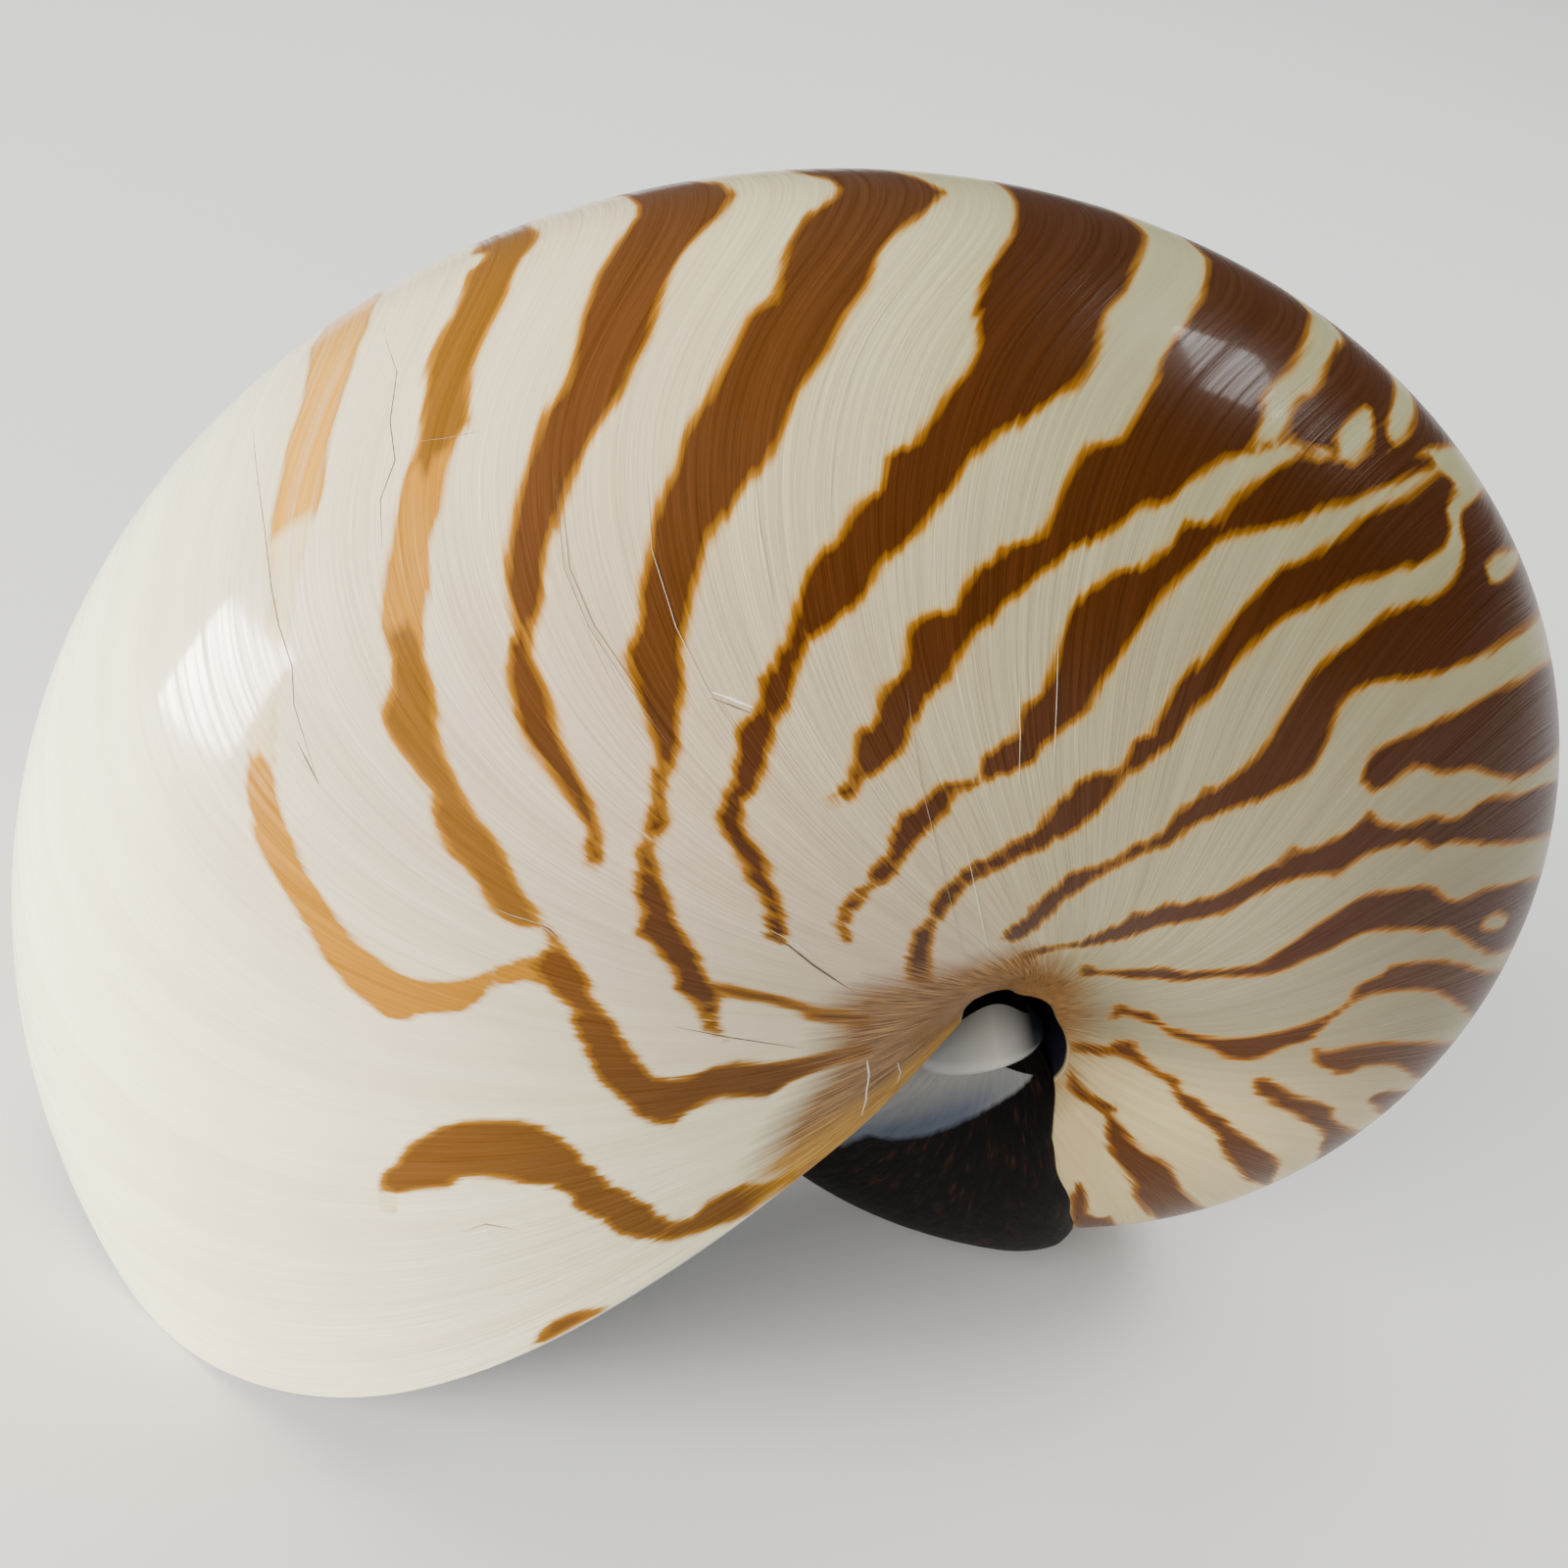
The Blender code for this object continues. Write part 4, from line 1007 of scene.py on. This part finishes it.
def chamber_row(angle):
    """Near half of the chamber's inner face at one growth stage, from the venter to the middle plane."""
    to_lip = float(smooth_step(angle, LIP_CREST_ANGLE - LIP_TAPER, LIP_CREST_ANGLE))
    wall = (WALL_THICKNESS + (LIP_THICKNESS - WALL_THICKNESS) * to_lip) / venter_radius(angle)
    rho_change = np.gradient(flank_rho)
    omega_change = np.gradient(flank_omega)
    length = np.hypot(rho_change, omega_change)
    rho = flank_rho - wall * omega_change / length
    omega = flank_omega + wall * rho_change / length
    omega[0] = 0.0
    corner_height = np.interp(CHAMBER_CORNER[0][0], rho[::-1], omega[::-1])
    kept = rho > CHAMBER_CORNER[0][0]
    corner_rho = [share for share, height_share in CHAMBER_CORNER]
    corner_omega = [corner_height * height_share for share, height_share in CHAMBER_CORNER]
    rho = np.append(rho[kept], corner_rho)
    omega = np.append(omega[kept], corner_omega)
    along = lengths_along(rho, omega)
    wanted = np.linspace(0.0, along[-1], FLANK_COLUMNS - POST_STEPS + 1)
    rho = np.interp(wanted, along, rho)
    omega = np.interp(wanted, along, omega)
    post = omega[-1] * (1.0 - np.arange(1, POST_STEPS + 1) / POST_STEPS)
    rho = np.append(rho, np.full(POST_STEPS, CHAMBER_POST))
    omega = np.append(omega, post)
    return leaning(np.full(len(rho), angle), rho, omega)[0]


def turned_on(u, v, w, angle):
    """Points of the coil frame after a turn about the coil axis by an angle in radians."""
    turned_u = u * np.cos(angle) - v * np.sin(angle)
    turned_v = u * np.sin(angle) + v * np.cos(angle)
    return np.stack((turned_u, turned_v, w), axis=-1)


def nacre_places(angles, depths):
    """Angle and depth at each point of a grid of mother of pearl, for its material to read."""
    grid_angles, grid_depths = np.meshgrid(angles, depths, indexing="ij")
    return np.stack((grid_angles, grid_depths, np.zeros_like(grid_angles)), axis=-1).reshape(-1, 3)


lip_outer = near_points[-1, :FLANK_COLUMNS + 1]
lip_before = near_points[-2, :FLANK_COLUMNS + 1]
chamber_angles = np.linspace(LIP_CREST_ANGLE, SEPTUM_ANGLE, CHAMBER_ROWS + 1)
chamber = np.array([chamber_row(angle) for angle in chamber_angles])
lip_inner = chamber[0]
forward = lip_outer - lip_before
forward /= np.linalg.norm(forward, axis=1)[:, None]
middle = 0.5 * (lip_outer + lip_inner)
half_lip = 0.5 * (lip_outer - lip_inner)
rounding = []
for step in range(LIP_ROUND_STEPS + 1):
    swing_on = math.pi * step / LIP_ROUND_STEPS
    bulge = np.minimum(np.linalg.norm(half_lip, axis=1), 0.5 * LIP_THICKNESS)[:, None]
    rounding.append(middle + half_lip * math.cos(swing_on) + forward * bulge * math.sin(swing_on))
lining_rows = np.concatenate((np.array(rounding), chamber[1:]))
lining_points = both_flanks(lining_rows)
lining_faces = grid_faces(*lining_points.shape[:2])

widest = chamber[-1][:, 2].max()
septum_rows = []
middle_radius = 0.5 * venter_radius(SEPTUM_ANGLE)
for step in range(SEPTUM_STEPS + 1):
    across = math.cos(math.pi * step / SEPTUM_STEPS)
    u, v, w = chamber[-1].T
    back = -SEPTUM_DISH * (1.0 - across * across) * w / widest / middle_radius
    septum_rows.append(turned_on(u, v, w * across, back))
septum_points = np.array(septum_rows)
septum_faces = grid_faces(*septum_points.shape[:2], first=lining_points.shape[0] * lining_points.shape[1])
lining = make_piece("nacre_lining", np.vstack((lining_points.reshape(-1, 3), septum_points.reshape(-1, 3))),
                    np.vstack((lining_faces, septum_faces)))

ring_angles = np.concatenate((np.full(len(rounding), LIP_CREST_ANGLE), chamber_angles[1:]))
lining_place = nacre_places(ring_angles, np.linspace(-100.0, 100.0, lining_points.shape[1]))
septum_angles = SEPTUM_ANGLE - SEPTUM_TINT_TURN * np.sin(np.linspace(0.0, math.pi, SEPTUM_STEPS + 1))
septum_place = nacre_places(septum_angles, np.linspace(0.0, 100.0, septum_points.shape[1]))
store(lining, "nacre_place", np.vstack((lining_place, septum_place)))

tree, surface = new_finish(lining, "mother_of_pearl")
nacre_place = attribute(tree, "nacre_place").outputs["Vector"]
bands = stretched_noise(tree, nacre_place, 0.16, 0.012, breakup=0.6)
play = stretched_noise(tree, nacre_place, 0.030, 0.030, detail=2.0, breakup=0.5)
pale_bands = ramp(tree, bands, ((0.34, (0.60, 0.60, 0.61)), (0.50, (0.72, 0.73, 0.74)),
                                (0.66, (0.80, 0.80, 0.79))))
sheen_tint = ramp(tree, play, ((0.34, (1.0, 0.90, 0.92)), (0.46, (0.96, 0.97, 1.0)),
                               (0.56, (0.90, 1.0, 0.95)), (0.68, (1.0, 0.96, 0.88))))
tree.links.new(mix_colours(tree, 0.75, pale_bands, sheen_tint, "MULTIPLY"), surface.inputs["Base Color"])
nacre_roughness = math_node(tree, "MULTIPLY_ADD", bands, 0.25, 0.12)
tree.links.new(nacre_roughness, surface.inputs["Roughness"])
add_bump(tree, surface, bands, 0.35, 0.0003)
surface.inputs["Coat Weight"].default_value = 0.4
surface.inputs["Coat Roughness"].default_value = 0.08


# The older coil inside the aperture, with the black layer that the animal's hood laid down on it.
# The layer is thick, dull and dark, and its rounded front edge lies on the striped wall.
BLACK_FRONT_ANGLE = -75.5
BLACK_ROUNDING = 13.0
BLACK_THICKNESS = 0.0043
BLACK_SINK = 0.0008
FRONT_REACH = 35.0              # degrees behind the front in which its edge starts to swerve
OLDER_COIL_AXIS_HEIGHT = 0.0050
COIL_ROWS = 220
FRONT_ROWS = 24
COIL_COLUMNS = 90


coil_steps = np.linspace(0.0, flank_length[-1], COIL_COLUMNS + 1)
coil_rho = np.interp(coil_steps, flank_length, flank_rho)
coil_omega = np.interp(coil_steps, flank_length, flank_omega)


def older_coil_row(angle):
    """Near half of the older coil's surface at an angle, from the venter to its axis."""
    into_edge = min(max((angle - BLACK_FRONT_ANGLE) / BLACK_ROUNDING + 1.0, 0.0), 1.0)
    raised = (BLACK_THICKNESS + BLACK_SINK) * math.sqrt(1.0 - into_edge ** 2) - BLACK_SINK
    grown = venter_radius(angle) + raised
    row = coil_points(np.full(len(coil_rho), angle), coil_rho * grown, coil_omega * grown)
    return np.vstack((row, (0.0, 0.0, OLDER_COIL_AXIS_HEIGHT)))


full_until = BLACK_FRONT_ANGLE - BLACK_ROUNDING
front_turns = 0.5 * math.pi * np.arange(1, FRONT_ROWS + 1) / FRONT_ROWS
coil_angles = np.concatenate((np.linspace(BLACK_FRONT_ANGLE - 360.0, full_until, COIL_ROWS),
                              full_until + BLACK_ROUNDING * np.sin(front_turns)))
near_coil = np.array([older_coil_row(angle) for angle in coil_angles])

# The front edge of the black layer wanders, and runs on further near the umbilicus
FRONT_RUN_ON = ((0.0, 16.0), (0.20, 13.0), (0.25, 10.5), (0.306, 7.0), (0.39, 2.6), (0.49, 1.9),
                (0.61, 1.4), (0.80, 0.8), (1.0, 0.4))
front_shift = np.interp(np.append(coil_rho, 0.0), *np.array(FRONT_RUN_ON).T)
columns = np.arange(len(front_shift))
wander = 0.5 * np.sin(columns * 0.21) + 0.35 * np.sin(columns * 0.47 + 1.0)
near_front = smooth_step(coil_angles, full_until - FRONT_REACH, full_until)
at_front = smooth_step(coil_angles, full_until + 0.7 * BLACK_ROUNDING, BLACK_FRONT_ANGLE)
swerve = np.radians(near_front[:, None] * front_shift[None, :] + at_front[:, None] * wander[None, :])
near_coil = turned_on(near_coil[..., 0], near_coil[..., 1], near_coil[..., 2], swerve)
coil_reached = coil_angles[:, None] + np.degrees(swerve)
grown_on = venter_radius(coil_reached) / venter_radius(coil_angles)[:, None]
near_coil = near_coil * grown_on[..., None]
coil_rows = both_flanks(near_coil)
coil_faces = grid_faces(*coil_rows.shape[:2])
older_coil = make_piece("older_coil", coil_rows.reshape(-1, 3), coil_faces)

# Where the mother of pearl on the older coil ends and the black begins, in pixels of the photograph
PEARL_EDGE = ((1054, 1096), (1045, 1107), (1034, 1115), (1020, 1124), (1002, 1134), (985, 1142),
              (965, 1151), (945, 1158), (925, 1161), (905, 1162), (885, 1158))
VENTER_PEARL_ANGLE = -138.0
coil_tree = BVHTree.FromPolygons(in_place(coil_rows.reshape(-1, 3)).tolist(), coil_faces.tolist())
pearl_places = []
for x, y in PEARL_EDGE:
    u, v, w = on_coil(coil_tree.ray_cast(camera_spot, line_of_sight(x, y))[0])
    angle = math.degrees(math.atan2(v, u))
    pearl_places.append((math.hypot(u, v) / venter_radius(angle), angle))
pearl_places = np.array(sorted(pearl_places))
coil_radius = np.hypot(coil_rows[..., 0], coil_rows[..., 1])
coil_turned = both_flanks_value(coil_reached)
coil_share = coil_radius / venter_radius(coil_turned)
edge_shares = np.concatenate(([0.0, pearl_places[0, 0] - 0.02], pearl_places[:, 0], [1.15]))
edge_angles = np.concatenate(([-200.0, -200.0], pearl_places[:, 1], [VENTER_PEARL_ANGLE]))
past_pearl = coil_turned - np.interp(coil_share, edge_shares, edge_angles)
store(older_coil, "past_pearl", past_pearl.ravel())
coil_places = np.stack((coil_turned, 100.0 * coil_share, np.zeros_like(coil_turned)), axis=-1)
store(older_coil, "coil_place", coil_places.reshape(-1, 3))

tree, surface = new_finish(older_coil, "black_layer")
past = attribute(tree, "past_pearl").outputs["Fac"]
coil_place = attribute(tree, "coil_place").outputs["Vector"]
drag = math_node(tree, "SUBTRACT", stretched_noise(tree, coil_place, 0.35, 0.2), 0.5)
bare = math_node(tree, "MULTIPLY_ADD", past, 0.35, 0.5)
bare = math_node(tree, "MULTIPLY_ADD", drag, 0.8, bare, clamp=True)
streak = stretched_noise(tree, coil_place, 0.5, 0.10, detail=4.0, breakup=0.6)
black = ramp(tree, streak, ((0.48, (0.0006, 0.0004, 0.0005)), (0.58, (0.0040, 0.0012, 0.0008)),
                            (0.70, (0.030, 0.007, 0.0025))))
# The mother of pearl on the older coil is painted light and shade: dim all over for the shade inside the
# aperture, pale at its far end, darkest a little way on from there and lighter again towards the black
# front
coil_parts = tree.nodes.new("ShaderNodeSeparateXYZ")
tree.links.new(coil_place, coil_parts.inputs[0])
towards_tip = math_node(tree, "MULTIPLY_ADD", coil_parts.outputs["X"], 1.0 / 70.0, 150.0 / 70.0, clamp=True)
pearl = ramp(tree, towards_tip, ((0.0, (0.32, 0.33, 0.35)), (0.35, (0.070, 0.085, 0.115)),
                                 (0.62, (0.085, 0.10, 0.135)), (0.80, (0.15, 0.16, 0.17)),
                                 (0.95, (0.20, 0.205, 0.20))))
# Paler where it lies well behind the black front's edge, painted light where that face turns up to the
# lamps; darker along the edge, painted shade where it turns down
inner = math_node(tree, "MULTIPLY_ADD", past, -0.055, -0.25, clamp=True)
pearl = mix_colours(tree, inner, pearl, (0.27, 0.265, 0.245))
pearl_streaks = ramp(tree, streak, ((0.40, (0.80, 0.81, 0.85)), (0.58, (1.0, 1.0, 1.0))))
pearl = mix_colours(tree, 0.5, pearl, pearl_streaks, "MULTIPLY")
tree.links.new(mix_colours(tree, bare, pearl, black), surface.inputs["Base Color"])
rough = math_node(tree, "MULTIPLY_ADD", bare, 0.25, 0.30)
tree.links.new(rough, surface.inputs["Roughness"])
surface.inputs["Specular IOR Level"].default_value = 0.09
add_bump(tree, surface, streak, 0.6, 0.0004)


# The callus that plugs the umbilicus: mother of pearl heaped up by the mantle over the coil's axis,
# a low dome that runs out from under the rim towards the lip.
CALLUS_RADIUS = ((0.0, 0.0036), (60.0, 0.0036), (110.0, 0.0070), (160.0, 0.0135), (200.0, 0.0158),
                 (240.0, 0.0150), (285.0, 0.0085), (320.0, 0.0048), (360.0, 0.0036))
CALLUS_HEIGHT = 0.0098
CALLUS_DIRECTIONS = 120
CALLUS_RINGS = 30

directions = np.linspace(0.0, 360.0, CALLUS_DIRECTIONS + 1)
climbs = 0.5 * math.pi * np.linspace(0.0, 1.0, CALLUS_RINGS + 1)
callus_edge = read_curve(CALLUS_RADIUS, directions)
dome = np.array([coil_points(np.full(len(climbs), direction), edge_radius * np.cos(climbs),
                             CALLUS_HEIGHT * np.sin(climbs))
                 for direction, edge_radius in zip(directions, callus_edge)])
dome_rows = both_flanks(dome)

# A tongue of the callus lies on each flank of the older coil, just below the axis
TONGUE_MIDDLE = (-0.0031, -0.0075)
TONGUE_HALF_SIZE = (0.0074, 0.0030)
TONGUE_TURN = 14.0
TONGUE_SINK = 0.0012
TONGUE_RISE = 0.0029
tongue_turn = math.radians(TONGUE_TURN)
along = TONGUE_HALF_SIZE[0] * np.cos(np.radians(directions))[:, None] * np.cos(climbs)[None, :]
across = TONGUE_HALF_SIZE[1] * np.sin(np.radians(directions))[:, None] * np.cos(climbs)[None, :]
tongue_u = TONGUE_MIDDLE[0] + along * math.cos(tongue_turn) - across * math.sin(tongue_turn)
tongue_v = TONGUE_MIDDLE[1] + along * math.sin(tongue_turn) + across * math.cos(tongue_turn)


def older_flank_height(u, v):
    """Height of the older coil's flank over the plane of symmetry at a place near the axis."""
    grown = venter_radius(np.degrees(np.arctan2(v, u)))
    return grown * np.interp(np.hypot(u, v) / grown, flank_rho[::-1], flank_omega[::-1])


tongue_w = older_flank_height(tongue_u, tongue_v) - TONGUE_SINK
tongue_w = tongue_w + (TONGUE_RISE + TONGUE_SINK) * np.sin(climbs)[None, :] ** 0.8
tongue = np.stack((tongue_u, tongue_v, tongue_w), axis=-1)
foot_height = older_flank_height(*np.array(TONGUE_MIDDLE)) - 3.0 * TONGUE_SINK
foot = np.repeat(np.array([[[*TONGUE_MIDDLE, foot_height]]]), len(directions), axis=0)
tongue = np.concatenate((foot, tongue), axis=1)
dome_count = dome_rows.shape[0] * dome_rows.shape[1]
tongue_count = tongue.shape[0] * tongue.shape[1]
dome_faces = grid_faces(*dome_rows.shape[:2])
tongue_faces = grid_faces(*tongue.shape[:2], first=dome_count)
far_faces = grid_faces(*tongue.shape[:2], first=dome_count + tongue_count, flipped=True)
callus = make_piece("callus", np.vstack((dome_rows.reshape(-1, 3), tongue.reshape(-1, 3),
                                         (tongue * (1.0, 1.0, -1.0)).reshape(-1, 3))),
                    np.vstack((dome_faces, tongue_faces, far_faces)))
# How far each point lies towards the tongue's outer end, from -1 to 1
tongue_reach = np.cos(np.radians(directions))[:, None] * np.cos(climbs)[None, :]
tongue_reach = np.concatenate((np.zeros((len(directions), 1)), tongue_reach), axis=1).ravel()
store(callus, "tongue_reach", np.concatenate((np.ones(dome_count), tongue_reach, tongue_reach)))

tree, surface = new_finish(callus, "callus_pearl_painted_shade")
# The callus's colour is mostly painted shade: dim all over for the shade in the umbilicus, grey at the
# tongue's end towards the lip, palest part way along, and near black at the end that points into the pit
# and over the whole dome, which lies deep in the pit
reach = attribute(tree, "tongue_reach").outputs["Fac"]
reach = math_node(tree, "MULTIPLY_ADD", reach, 0.5, 0.5)
callus_colour_and_shade = ramp(tree, reach, ((0.0, (0.20, 0.20, 0.20)), (0.35, (0.31, 0.31, 0.29)),
                                   (0.64, (0.50, 0.48, 0.42)), (0.78, (0.30, 0.29, 0.27)),
                                   (0.92, (0.010, 0.011, 0.015))))
tree.links.new(callus_colour_and_shade, surface.inputs["Base Color"])
surface.inputs["Roughness"].default_value = 0.3
surface.inputs["Coat Weight"].default_value = 0.15


# The studio: a wide sheet of pale, dull board that the shell rests on. It lies a hair lower than the
# shell's lowest points, so that it cuts none of them.
FLOOR_SIZE = 6.0
FLOOR_LEVEL = -0.0003
floor_mesh = bpy.data.meshes.new("floor")
half_floor = 0.5 * FLOOR_SIZE
floor_corners = [(-half_floor, -half_floor, FLOOR_LEVEL), (half_floor, -half_floor, FLOOR_LEVEL),
                 (half_floor, half_floor, FLOOR_LEVEL), (-half_floor, half_floor, FLOOR_LEVEL)]
floor_mesh.from_pydata(floor_corners, [], [(0, 1, 2, 3)])
floor = bpy.data.objects.new("floor", floor_mesh)
bpy.context.scene.collection.objects.link(floor)
floor_surface = new_finish(floor, "pale_floor")[1]
floor_surface.inputs["Base Color"].default_value = (0.86, 0.86, 0.85, 1.0)
floor_surface.inputs["Roughness"].default_value = 0.9
floor_surface.inputs["Specular IOR Level"].default_value = 0.1


# Studio light: white walls all round, one window on the left and one high on the right, which glint in
# the polish, and two large soft lamps, which light the shell but don't show in its gloss.
world = bpy.data.worlds.new("studio")
bpy.context.scene.world = world
world.use_nodes = True
background = world.node_tree.nodes["Background"]
background.inputs["Color"].default_value = (1.0, 1.0, 1.0, 1.0)
background.inputs["Strength"].default_value = 0.15


def soft_light(name, spot, aim, size, power, colour=(1.0, 1.0, 1.0)):
    light = bpy.data.lights.new(name, "AREA")
    light.shape = "RECTANGLE"
    light.size, light.size_y = size
    light.energy = power
    light.color = colour
    holder = bpy.data.objects.new(name, light)
    holder.location = spot
    holder.rotation_mode = "QUATERNION"
    holder.rotation_quaternion = (Vector(spot) - Vector(aim)).to_track_quat("Z", "Y")
    bpy.context.scene.collection.objects.link(holder)
    return holder


soft_light("window", spot=(-0.82, -0.22, 0.11), aim=(-0.03, 0.0, 0.06), size=(0.40, 0.20), power=25.0,
           colour=(1.0, 0.98, 0.94))
soft_light("back_right", spot=(0.55, 0.15, 0.75), aim=(0.02, 0.0, 0.10), size=(0.30, 0.18), power=4.2)
wall_left = soft_light("wall_left", spot=(-1.10, -1.20, 1.20), aim=(0.0, 0.0, 0.05), size=(1.9, 1.6),
                       power=44.0, colour=(1.0, 0.98, 0.95))
behind_above = soft_light("behind_above", spot=(0.0, 0.80, 0.85), aim=(0.0, 0.0, 0.08), size=(1.2, 0.5),
                          power=8.0)
for lamp in (wall_left, behind_above):
    lamp.visible_glossy = False
